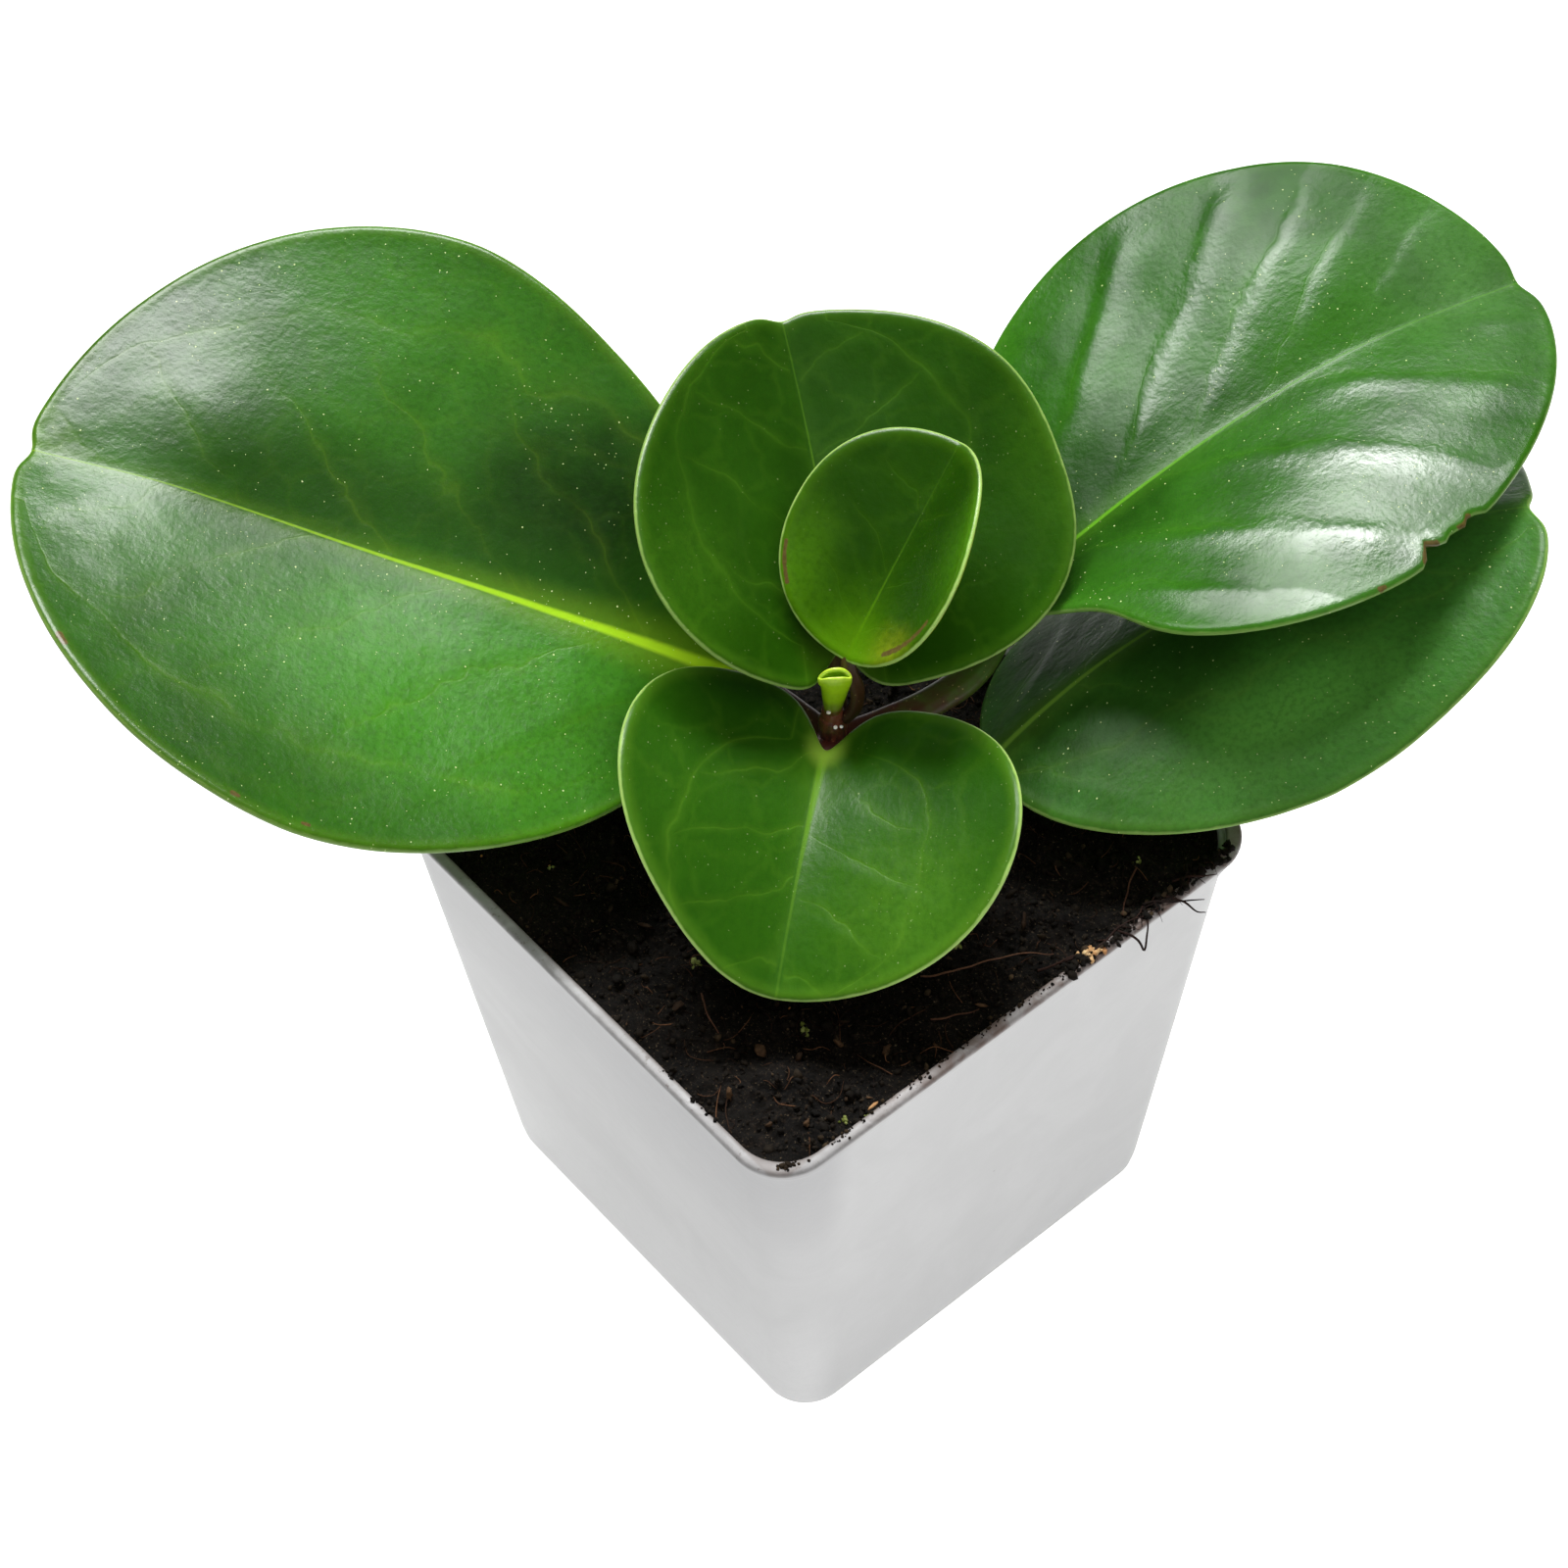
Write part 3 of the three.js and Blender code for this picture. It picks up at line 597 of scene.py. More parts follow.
def reach(leaf, angle):
    """Reach of the outline from the blade's middle at an angle: 0 is the tip, 90 left, 180 the base."""
    turned = half_turn(angle)
    across_half, power, lean = (np.where(turned >= 0, *leaf[key]) for key in ("widths", "fullness", "lean"))
    ahead = np.cos(np.radians(turned))
    across = np.abs(np.sin(np.radians(turned)))
    oval = (np.abs(ahead) / (leaf["length"] / 2)) ** power + (across / across_half) ** power
    out = oval ** (-1 / power) * (1 + 2 * lean * across**2 * ahead)
    for at, depth, width in leaf["dents"]:
        out = out - depth * hump(half_turn(np.asarray(angle) - at), width)
    return out


def ends(leaf):
    """Reach at the tip and at the base."""
    tip, base = reach(leaf, np.array([0.0, 180.0]))
    return float(tip), float(base)


def outline_points(leaf, angle):
    """Places along and across the flat blade where its outline is."""
    far = reach(leaf, angle)
    return ends(leaf)[1] + far * np.cos(np.radians(angle)), far * np.sin(np.radians(angle))


def arc_run(start, turn, length):
    """Run and rise of an arc that starts at an angle and turns evenly, all in radians."""
    turn = np.where(np.abs(turn) < 1e-6, 1e-6, turn)
    end = start + turn * length
    return (np.sin(end) - np.sin(start)) / turn, (np.cos(start) - np.cos(end)) / turn


def side_phase(leaf, s, y):
    """Side vein count at a place of the blade: a whole number on each side vein."""
    half = sum(leaf["widths"]) / 2
    stray = 1.6 * wobble(flat_places(s, y, 13), leaf["seed"])
    along = s - leaf["slant"] * np.abs(y) * (1 - 0.25 * np.abs(y) / half) + stray
    left, right = (np.interp(along, starts, np.arange(len(starts))) for starts in leaf["laterals"])
    return np.where(y >= 0, left, right)


def relief(leaf, s, y, margin):
    """Height of the blade over its smooth form."""
    seed = leaf["seed"]
    phase = side_phase(leaf, s, y)
    past = np.where(y >= 0, phase % 1, 1 - phase % 1)
    pucker = smooth(0, 0.13, past) * np.exp(-np.maximum(0, past - 0.13) / 0.28) * (1 - smooth(0.7, 1, past))
    fade = smooth(1.5, 8.0, np.abs(y)) * smooth(1.5, 8.0, margin)
    patch = wobble(flat_places(np.floor(phase) * 3.7 + np.sign(y) * 0.6, np.abs(y) / 11, 1), seed + 2)
    height = leaf["waves"] * rough(flat_places(s, y, 24), 2, seed)
    height = height + leaf["quilt"] * pucker * fade * (0.35 + 0.65 * smooth(-0.35, 0.35, patch))
    return height + 0.03 * wobble(flat_places(s, y, 2.6), seed + 5)


def mid_surface(leaf, s, y, margin):
    """Point of the blade's middle surface."""
    length = sum(ends(leaf))
    rad = math.radians
    heading = rad(leaf["heading"])
    ahead = np.array([math.cos(heading), math.sin(heading), 0])
    left = np.array([-math.sin(heading), math.cos(heading), 0])
    up = np.array([0, 0, 1.0])
    droop = -rad(leaf["arch"]) / length
    run, rise = arc_run(rad(leaf["pitch"]), droop, s)
    slope = rad(leaf["pitch"]) + droop * s
    tangent = np.cos(slope)[..., None] * ahead + np.sin(slope)[..., None] * up
    level = np.cross(tangent, left)
    roll = np.radians(leaf["roll"] + leaf["twist"] * s / length)[..., None]
    side = np.cos(roll) * left + np.sin(roll) * level
    normal = -np.sin(roll) * left + np.cos(roll) * level
    half = sum(leaf["widths"]) / 2
    away = np.abs(y)
    fold, cup = (np.radians(np.where(y >= 0, *leaf[key])) for key in ("fold", "cup"))
    out, lift = arc_run(fold, cup / half, away)
    soft = 1.3
    lift = lift + 0.5 * sum(math.sin(rad(turn)) for turn in leaf["fold"]) * soft * np.exp(-away / soft)
    for dome_s, dome_y, radius, height in leaf["domes"]:
        lift = lift + height * np.exp(-((s - dome_s) ** 2 + (y - dome_y) ** 2) / radius**2)
    bow = leaf["bow"] * 4 * (s / length) * (1 - s / length)
    point = np.array(leaf["base"]) + run[..., None] * ahead + rise[..., None] * up
    point = point + (np.sign(y) * out + bow)[..., None] * side
    return point + (lift + relief(leaf, s, y, margin))[..., None] * normal


def margin_distance(outline, s, y):
    """Distance in the flat blade from places to its outline."""
    a = outline[:-1]
    step = outline[1:] - a
    size = (step**2).sum(-1)
    place = np.stack([s.ravel(), y.ravel()], -1)
    best = np.full(len(place), 1e9)
    for k in range(len(a)):
        t = np.clip(((place - a[k]) @ step[k]) / size[k], 0, 1)
        gap = place - a[k] - t[:, None] * step[k]
        best = np.minimum(best, (gap**2).sum(-1))
    return np.sqrt(best).reshape(s.shape)


def blade_grid(leaf):
    """Places along and across the flat blade, closer together at its ends, midrib and margin."""
    w = np.arange(1, LEAF_ROWS) / LEAF_ROWS
    u = w - 0.1 * np.sin(2 * np.pi * w)
    rib_s = sum(ends(leaf)) * (0.5 * u + 0.25 * (1 - np.cos(np.pi * u)))
    j = np.arange(LEAF_COLUMNS + 1) / LEAF_COLUMNS
    main = 0.55 * j + 0.45 * 0.5 * (1 - np.cos(np.pi * j))
    curl = np.radians(90 * np.arange(1, MARGIN_COLUMNS + 1) / MARGIN_COLUMNS)
    grid_s, grid_y = [], []
    for hand in (1, -1):
        rim_s, rim_y = outline_points(leaf, hand * 180 * (1 - u))
        across = np.hypot(rim_s - rib_s, rim_y)
        bevel = np.minimum(0.5, MARGIN_BEVEL / across)[:, None]
        t = np.concatenate([main[None] * (1 - bevel), 1 - bevel * (1 - np.sin(curl))[None]], 1)
        grid_s.append(mix(rib_s[:, None], rim_s[:, None], t))
        grid_y.append(rim_y[:, None] * t)
    return (np.concatenate([right[:, :0:-1], left], 1) for left, right in (grid_s, grid_y))


def blade(leaf):
    """Points, faces and attributes of a blade with a rounded margin."""
    length = sum(ends(leaf))
    s, y = blade_grid(leaf)
    margin = margin_distance(np.stack(outline_points(leaf, np.linspace(0, 360, 361)), -1), s, y)
    margin[:, [0, -1]] = 0

    step = 0.05
    here = mid_surface(leaf, s, y, margin)
    forward = mid_surface(leaf, s + step, y, margin) - mid_surface(leaf, s - step, y, margin)
    leftward = mid_surface(leaf, s, y + step, margin) - mid_surface(leaf, s, y - step, margin)
    normal = unit(np.cross(forward, leftward))

    # Above, a groove along the midrib. Below, the midrib as a ridge and the side veins as keels.
    share = 1 - s / length
    phase = side_phase(leaf, s, y)
    edge = np.clip(margin / MARGIN_BEVEL, 0, 1)
    rounding = np.sqrt(1 - (1 - edge) ** 2)
    bead = 0.04 * hump(margin - 1.0, 0.6)
    half = (0.5 * leaf["thickness"] * (1 - 0.2 * (1 - smooth(0, 30, margin))) + bead) * rounding
    rib_width = leaf["rib"][1] + leaf["rib"][0] * np.clip(share, 0, 1) ** 1.6
    groove = 0.14 * hump(y, 0.8 + rib_width) * (0.35 + 0.65 * share)
    ridge = 0.9 * rib_width * hump(y, 0.9 + rib_width)
    vein_off = np.abs((phase + 0.5) % 1 - 0.5)
    keel = 0.14 * hump(vein_off, 0.07) * smooth(0.8, 3, np.abs(y)) * smooth(2, 9, margin)
    top = here + normal * ((half - groove * rounding)[..., None])
    under = here - normal * ((half + (ridge + keel) * rounding)[..., None])

    rows, columns = s.shape
    upper_index = np.arange(rows * columns).reshape(rows, columns)
    under_index = np.full((rows, columns), -1)
    under_index[:, 1:-1] = rows * columns + np.arange(rows * (columns - 2)).reshape(rows, columns - 2)
    under_index[:, 0], under_index[:, -1] = upper_index[:, 0], upper_index[:, -1]
    end_s = np.array([0.0, length])
    end_points = mid_surface(leaf, end_s, np.zeros(2), np.zeros(2))
    points = np.vstack([top.reshape(-1, 3), under[:, 1:-1].reshape(-1, 3), end_points])
    first, last = len(points) - 2, len(points) - 1
    faces = quads(upper_index).tolist() + quads(under_index)[:, ::-1].tolist()
    for index, flip in ((upper_index, False), (under_index, True)):
        for k in range(columns - 1):
            near = [first, index[0, k], index[0, k + 1]]
            away = [last, index[-1, k + 1], index[-1, k]]
            faces += [near[::-1], away[::-1]] if flip else [near, away]

    def both(field, at_ends=(0, 0), below=None):
        """A field's values on the upper side, on the underside and at the two ends."""
        below = field if below is None else below
        return np.concatenate([field.ravel(), below[:, 1:-1].ravel(), at_ends])

    swell = 4 * np.clip(s / length, 0.02, 1) * np.clip(1 - s / length, 0.02, 1)
    arcs = np.clip(np.abs(y) / (sum(leaf["widths"]) / 2) / np.sqrt(swell), 0, 1.5)
    rim = np.clip(margin / 0.25, 0, 1)
    side = both(0.5 + 0.5 * rim, (0.5, 0.5), 0.5 - 0.5 * rim)
    place = np.stack([both(s, end_s), both(y), both(margin)], -1)
    veins = np.stack([both(phase), both(arcs), side], -1)
    return points, faces, place, veins


def stalk(leaf):
    """Stalk from inside the stem to the blade, then tapering away under the midrib."""
    r = leaf["stalk_radius"]
    at = np.array([0.01, 0.1, 0.3]) * sum(ends(leaf))

    def blade_point(ahead, left):
        return mid_surface(leaf, at + ahead, np.full(3, left), np.full(3, 10.0))

    on_blade = blade_point(0, 0.0)
    normal = unit(np.cross(blade_point(0.1, 0.0) - on_blade, blade_point(0, 0.2) - blade_point(0, -0.2)))
    drop = np.array([0.75, 0.62, 0.35])[:, None] * r
    path = spline(leaf["stalk"] + list(on_blade - normal * drop), STALK_POINTS)
    t = np.linspace(0, 1, STALK_POINTS)
    thin = mix(1.15, 1, np.minimum(1, t * 4)) * np.where(t < 0.55, 1, mix(1, 0.35, (t - 0.55) / 0.45))
    swell = 1 + 0.04 * wobble(flat_places(t * 9, t * 0, 1), leaf["seed"])

    def channel(k, turn, side, over):
        depth = 0.16 * r * thin[k] * hump(half_turn(np.degrees(turn) - 90), 26)
        return -np.outer(depth, over)

    points, faces = tube(path, 1.1 * r * thin * swell, 0.9 * r * thin * swell, STALK_SIDES, channel)
    run = np.concatenate([np.repeat(t, STALK_SIDES), [0, 1]])
    turn = np.concatenate([np.tile(np.arange(STALK_SIDES) / STALK_SIDES, STALK_POINTS), [0, 0]])
    return points, faces, np.stack([run, turn, np.zeros_like(run)], -1)


LEAF_FINISHES = {
    "leaf_left": dict(dark=(26, 62, 5), light=(43, 93, 13), painted_light_and_pale_tone=(64, 134, 27), rib=(158, 204, 30),
                      under=(92, 130, 50), speckle=0.8, veins=0.06, rim=0.3, grain=0.05),
    "leaf_back": dict(dark=(26, 61, 3), light=(34, 74, 6), painted_light_and_pale_tone=(52, 96, 13), rib=(100, 150, 32),
                      under=(104, 146, 50), shine=0.24, speckle=0.2, veins=0.15, net=0.3, midrib=0.5,
                      rim=0.55, base_tint=((72, 112, 18), 9)),
    "leaf_front": dict(dark=(31, 72, 6), light=(41, 86, 10), painted_light_and_pale_tone=(70, 118, 24), rib=(112, 160, 40),
                       under=(106, 148, 52), gloss=0.28, shine=0.15, coat=0.03, speckle=0.2, veins=0.18,
                       net=0.28, midrib=0.45, base_tint=((134, 168, 56), 4.5)),
    "leaf_young": dict(dark=(23, 57, 0), light=(31, 68, 1), painted_light_and_pale_tone=(64, 110, 3), rib=(92, 142, 16),
                       under=(136, 158, 26), shine=0.22, speckle=0.1, net=0.4, midrib=0.3,
                       base_tint=((74, 118, 6), 9)),
    "leaf_upper_right": dict(dark=(28, 68, 10), light=(46, 98, 20), painted_light_and_pale_tone=(74, 138, 40), rib=(98, 160, 36),
                             under=(90, 128, 58), shine=0.3, coat=0.04, speckle=0.8, veins=0.08,
                             midrib=0.65, rim=0.3, grain=0.06, wax=(20, 48), streaks=0.55),
    "leaf_lower_right": dict(dark=(30, 62, 14), light=(52, 104, 34), painted_light_and_pale_tone=(84, 146, 56), rib=(110, 152, 52),
                             under=(82, 120, 50), gloss=0.3, shine=0.16, coat=0.0, speckle=0.8, veins=0.12,
                             midrib=0.7, rim=0.4, grain=0.05, wax=(8, 46)),
}
STALK_COLOURS = {
    "leaf_left": ((58, 25, 19), (92, 60, 30), (140, 172, 48)),
    "leaf_back": ((66, 36, 24), (92, 74, 34), (110, 146, 38)),
    "leaf_front": ((64, 28, 22), (98, 60, 34), (140, 168, 60)),
    "leaf_young": ((48, 23, 16), (66, 40, 22), (104, 134, 30)),
    "leaf_upper_right": ((64, 28, 24), (58, 92, 22), (70, 112, 28)),
    "leaf_lower_right": ((60, 28, 20), (70, 78, 24), (104, 140, 44)),
}

for node, leaf in LEAVES.items():
    blade_points, blade_faces, place, veins = blade(leaf)
    stalk_points, stalk_faces, stalk_field = stalk(leaf)
    points, faces = join([(blade_points, blade_faces), (stalk_points, stalk_faces)])
    empty = np.zeros_like(stalk_points)
    piece = add_piece(
        "fleshy_" + node, points, faces,
        [leaf_finish(node + "_blade", leaf, **LEAF_FINISHES[node]),
         stalk_finish(node + "_stalk", *STALK_COLOURS[node])],
        groups=[0] * len(blade_faces) + [1] * len(stalk_faces),
        attributes={
            "leaf": np.vstack([place, empty]),
            "veins": np.vstack([veins, empty]),
            "stalk": np.vstack([np.zeros_like(blade_points), stalk_field]),
        })
    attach(piece, "root")
    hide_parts(node)


# Stem and bud

def stem_material():
    f = Finish("stem_skin", soft=(0.08, 0.001, (1.0, 0.4, 0.2)), coat=(0.25, 0.15), Specular_IOR_Level=0.5)
    at = f.place()
    height = f.split(at)[2]
    streak = f.noise(f.vector("MULTIPLY", at, (1.0, 1.0, 0.25)), 0.8, 3, 0.6)
    f.colour = f.blend(f.step(streak, 0.3, 0.7), (46, 22, 18), (94, 46, 34))
    f.paint(f.step(height, 84, 92, 0.85, 0), (46, 30, 20))
    f.paint(f.step(height, 101.5, 104.0, 0, 0.45), (112, 66, 40))
    f.paint(f.dots(at, 0.8, 0.12) * 0.4, (176, 132, 92))
    f.bump(streak, 0.12)
    f.bump(f.noise(at, 0.35), 0.03)
    return f.finish(streak.scaled(0.2, 0.26))


stem_path = spline(STEM_PATH, 160)
stem_height = stem_path[:, 2]
stem_radius = mix(2.3, 1.5, np.linspace(0, 1, len(stem_path)) ** 4)
for at in STEM_NODES:
    # A swelling, with a groove and a fine ring above it
    for rise, above, width in ((0.3, 0, 1.6), (-0.14, 1.5, 0.22), (0.1, 1.1, 0.2)):
        stem_radius = stem_radius + rise * hump(stem_height - at - above, width)


def stem_bark(k, turn, side, over):
    out = np.outer(np.cos(turn), side) + np.outer(np.sin(turn), over)
    sample = np.stack([np.cos(turn) * 1.6, np.sin(turn) * 1.6, np.full_like(turn, stem_height[k] * 0.45)], -1)
    return out * (0.13 * rough(sample, 3, 21))[:, None]


points, faces = tube(stem_path, stem_radius, stem_radius, 40, stem_bark)
stem = add_piece("plant_stem", points, faces, [stem_material()])
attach(stem, "root")
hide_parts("stem")


def bud_material():
    f = Finish("bud_skin", soft=(0.3, 0.0012, (0.7, 1.0, 0.1)), coat=(0.2, 0.2), Specular_IOR_Level=0.5)
    run, edge, _ = f.split(f.attribute("bud"))
    at = f.place()
    share = run + f.noise(at, 1.2).scaled(0.12, -0.06)
    f.colour = f.blend(f.step(share, 0.1, 0.26), (88, 42, 26), (124, 150, 26))
    f.paint(f.step(share, 0.26, 0.5), (158, 200, 20))
    f.paint(f.step(edge, 0.4, 0.9, 0, 0.8), (190, 218, 62))
    f.paint(f.step(f.noise(at, 0.5), 0.4, 0.7, 0, 0.2), (110, 150, 20))
    f.bump(f.noise(at, 0.4), 0.02)
    return f.finish(f.noise(at, 1).scaled(0.12, 0.28))


def bud_mesh():
    """A small leaf still rolled into a funnel. Its mouth is a narrow slot whose far lip stands higher."""
    path = spline(BUD_PATH, 60)
    facing = math.radians(BUD_FACING)
    back = np.array([math.cos(facing), math.sin(facing), 0])
    across = np.array([-back[1], back[0], 0])
    leftward, backward = np.cos(circle(BUD_SIDES)), np.sin(circle(BUD_SIDES))
    rings, field = [], []

    def add_ring(t, shrink, drop, rim):
        height = t * (len(path) - 1)
        centre = np.array([np.interp(height, np.arange(len(path)), path[:, axis]) for axis in range(3)])
        wide = np.interp(t, *BUD_WIDTHS) - shrink
        deep = max(0.2, np.interp(t, *BUD_DEPTHS) - shrink)
        flare = 0.45 * smooth(0.75, 1, t) * np.maximum(0, leftward) ** 2
        ring = centre + np.outer(wide * leftward + flare, across) + np.outer(deep * backward, back)
        lift = smooth(0.55, 1, t) * (0.45 * backward - 0.3 - 0.9 * np.abs(leftward) ** 3)
        ring[:, 2] += lift - drop
        rings.append(ring)
        field.append(np.tile([t, rim, 0], (BUD_SIDES, 1)))

    # Up the outside, over the rounded lip and down inside
    for t in np.linspace(0, 1, 46):
        add_ring(t, 0, 0, smooth(0.9, 1, t))
    for a in np.radians(np.arange(20, 181, 20)):
        add_ring(1, BUD_LIP * (1 - math.cos(a)), -BUD_LIP * math.sin(a), 1)
    for t in np.linspace(0.97, 0.75, 10):
        add_ring(t, 0.5, 0, smooth(0.85, 1, t))
    points, faces = skin(rings)
    return points, faces, np.vstack(field + [[[0, 0, 0], [0.6, 0, 0]]])


points, faces, field = bud_mesh()
bud = add_piece("rolled_bud", points, faces, [bud_material()], attributes={"bud": field})
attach(bud, "root")
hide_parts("bud")


# Pot

def body_half(z):
    return mix(BASE_HALF, BODY_TOP_HALF, z / BODY_TOP)


def inner_half(z):
    return body_half(z) - WALL


def pot_material():
    f = Finish("pot_plastic", Specular_IOR_Level=0.4)
    at = f.place()
    x, y, z = f.split(at)
    f.colour = f.blend(f.step(f.noise(at, 19, 4, 0.55, 1.2), 0.3, 0.7), (191, 191, 191), (196, 196, 196))
    # Painted shade greys the front wall near the rim and painted light brightens it towards the foot
    front = f.step(y, -36, -30, 1, 0)
    f.paint(front * f.step(z, 40, 82), (176, 176, 177))
    f.paint(front * f.step(z, 2, 40, 1, 0), (212, 212, 212))
    f.paint(f.step(abs(f.noise(at, 7, 5, 0.65, 2.4) - 0.5), 0.0, 0.035, 0.14, 0), (189, 189, 190))
    off, chance, large = f.cells(at, 5.2)
    speck = (off < large.scaled(0.035, 0.012)) * f.step(chance, 0.72, 0.74)
    speck = speck * f.maximum(f.step(z, 30, 80, 0.25, 1), f.step(z, 2, 9, 1, 0))
    f.paint(speck * 0.8, (88, 74, 64))
    # Brownish dust on the rim, thickest along the right-hand side
    smear = f.noise(at, 4.0, 4, 0.6, 0.6)
    on_rim = f.step(z, 82.7, 83.8)
    dusty = on_rim * f.step(smear, 0.25, 0.75, 0.6, 0.95)
    f.paint(dusty, (116, 114, 113))
    rightward = f.step(x, 40, 43.5) * f.step(y, -40, -10)
    f.paint(on_rim * rightward * f.step(smear, 0.3, 0.6, 0.3, 0.9), (90, 72, 64))
    f.paint(dusty * f.step(f.noise(at, 0.9, 3, 0.7), 0.6, 0.7) * 0.6, (70, 54, 46))
    # Darker on the inner side of the rim
    f.paint(f.step(f.maximum(abs(x), abs(y)), 44.2, 44.7, 0.5, 0) * on_rim, (96, 84, 78))
    # Faint painted shade under the band and under the lip, and a darker tone along the band and at the foot, all
    # broken up in patches
    under_band = f.band(z, (79.2, 79.8), (79.95, 80.35))
    under_lip = f.band(z, (82.0, 82.5), (82.62, 82.8))
    on_band = f.band(z, (81.0, 81.25), (81.35, 81.6), 0.6)
    lines = f.maximum(f.maximum(under_band, under_lip), on_band)
    shade_and_dark_lines = f.maximum(lines * 0.7, f.step(z, 0.9, 3.2, 0.4, 0)) * f.step(smear, 0.3, 0.7)
    f.paint(shade_and_dark_lines, (124, 118, 114))
    scuff = f.noise(f.vector("MULTIPLY", at, (0.25, 0.25, 2.2)), 1.6, 4, 0.7)
    f.bump(f.noise(at, 0.45, 3, 0.6), 0.018)
    f.bump(scuff, 0.03)
    f.bump(f.noise(at, 14), 0.12)
    return f.finish(scuff.scaled(0.22, 0.36))


def pot_profile():
    """Half-width, corner radius and height from the foot up the outside, over the lip and down inside."""
    profile = [
        (36.15, 6.8, 0.0), (36.4, 7, 0.2), (36.4, 7, 0.8), (36.5, 7, 1.0), (37.05, 7, 1.35), (37.2, 7, 1.7),
    ]
    for z in np.linspace(4, 79.6, 24):
        profile.append((body_half(z), mix(BASE_CORNER, TOP_CORNER, z / BODY_TOP), z))
    profile += [
        (44.24, 8, 79.88), (44.5, 8, 80.08), (44.75, 8, 80.25), (44.8, 8, 80.5), (44.8, 8, 81.5),
        (44.8, 8, 82.45), (44.88, 8, 82.62), (45.3, 8, 82.74), (45.68, 8, 82.9), (45.8, 8, 83.15),
        (45.8, 8, 83.6), (45.68, 7.95, 83.86), (45.4, 7.7, POT_HEIGHT), (44.8, 7.5, POT_HEIGHT),
        (44.35, 7.4, POT_HEIGHT), (44.12, 7.3, 83.9), (44.0, 7.2, 83.65), (44.0, 7.2, 82.9),
        (43.7, 7.1, 82.2), (43.2, 7, 81.0), (inner_half(BODY_TOP), 6.9, BODY_TOP),
    ]
    for z in np.linspace(74, 7, 16):
        profile.append((inner_half(z), mix(BASE_CORNER, TOP_CORNER, z / BODY_TOP) - WALL, z))
    return profile + [
        (inner_half(4.6), 5.9, 4.6), (inner_half(4.0) - 0.25, 5.7, 3.7), (inner_half(3.4) - 0.9, 5.3, FLOOR_TOP),
    ]


def pot_mesh():
    """Walls of the profile, joined to a drained floor with a foot ring and a round pad."""
    rings = []
    for half, corner, z in pot_profile():
        ring = rounded_square(half, corner, z)
        warp = 0.16 * wobble(ring / [30, 30, 34], 31) * smooth(4, 16, z) * (1 - smooth(76, 80, z))
        rings.append(ring + unit(ring * [1, 1, 0]) * warp[:, None])
    points, faces = skin(rings, close=False)
    around = len(rings[0])
    points = list(map(tuple, points))
    inner_loop = [(len(rings) - 1) * around + k for k in range(around)]
    foot_outer = list(range(around))

    def add_loop(loop):
        start = len(points)
        points.extend(map(tuple, loop))
        return list(range(start, start + len(loop)))

    def ring_at(cx, cy, r, z, sides):
        a = circle(sides)
        return np.stack([cx + r * np.cos(a), cy + r * np.sin(a), np.full(sides, z)], -1)

    def walls(loops, outward):
        """Faces between each loop and the next one."""
        for lower, upper in zip(loops, loops[1:]):
            n = len(lower)
            for k in range(n):
                quad = [lower[k], lower[(k + 1) % n], upper[(k + 1) % n], upper[k]]
                faces.append(quad if outward else quad[::-1])

    def plate(outer, holes, up):
        """Flat triangles between an outer loop and the loops of its holes."""
        index = [v for loop in (outer, *holes) for v in loop]
        flat = [Vector(points[v][:2]) for v in index]
        edges, start = [], 0
        for n in map(len, (outer, *holes)):
            edges += [(start + k, start + (k + 1) % n) for k in range(n)]
            start += n
        new_points, _, triangles, source, _, _ = delaunay_2d_cdt(flat, edges, [], 1, 1e-6)
        hole_shapes = [np.array([points[v][:2] for v in loop]) for loop in holes]
        for triangle in triangles:
            middle = np.mean([new_points[v][:] for v in triangle], 0)
            if any(np.hypot(*(middle - h.mean(0))) < 0.98 * np.hypot(*(h[0] - h.mean(0))) for h in hole_shapes):
                continue
            face = [index[source[v][0]] for v in triangle]
            a, b, c = (np.array(points[v][:2]) for v in face)
            turn = (b[0] - a[0]) * (c[1] - a[1]) - (b[1] - a[1]) * (c[0] - a[0])
            faces.append(face if (turn > 0) == up else face[::-1])

    top_holes, under_holes = [], []
    for i in range(DRAIN_COUNT):
        a = math.radians((i + 0.5) * 360 / DRAIN_COUNT)
        cx, cy = DRAIN_CIRCLE * math.cos(a), DRAIN_CIRCLE * math.sin(a)
        loops = [add_loop(ring_at(cx, cy, r, z, 40)) for r, z in (
            (DRAIN_RADIUS + DRAIN_ROUNDING, FLOOR_UNDERSIDE), (DRAIN_RADIUS, FLOOR_UNDERSIDE + DRAIN_ROUNDING),
            (DRAIN_RADIUS, FLOOR_TOP - DRAIN_ROUNDING), (DRAIN_RADIUS + DRAIN_ROUNDING, FLOOR_TOP))]
        walls(loops, outward=False)
        under_holes.append(loops[0])
        top_holes.append(loops[-1])
    foot = [add_loop(rounded_square(half, corner, z)) for half, corner, z in (
        (33.1, 4.1, 0.0), (32.9, 4, ROUNDING), (32.9, 4, FLOOR_UNDERSIDE - ROUNDING),
        (32.7, 3.9, FLOOR_UNDERSIDE))]
    walls(foot, outward=False)
    walls([foot[0], foot_outer], outward=True)
    pad = [add_loop(ring_at(0, 0, r, z, 72)) for r, z in (
        (PAD_RADIUS - ROUNDING, 0.0), (PAD_RADIUS, ROUNDING), (PAD_RADIUS, FLOOR_UNDERSIDE - ROUNDING),
        (PAD_RADIUS + ROUNDING, FLOOR_UNDERSIDE))]
    walls(pad, outward=True)
    plate(pad[0], [], up=False)
    plate(foot[-1], under_holes + [pad[-1]], up=False)
    plate(inner_loop, top_holes, up=True)
    return points, faces


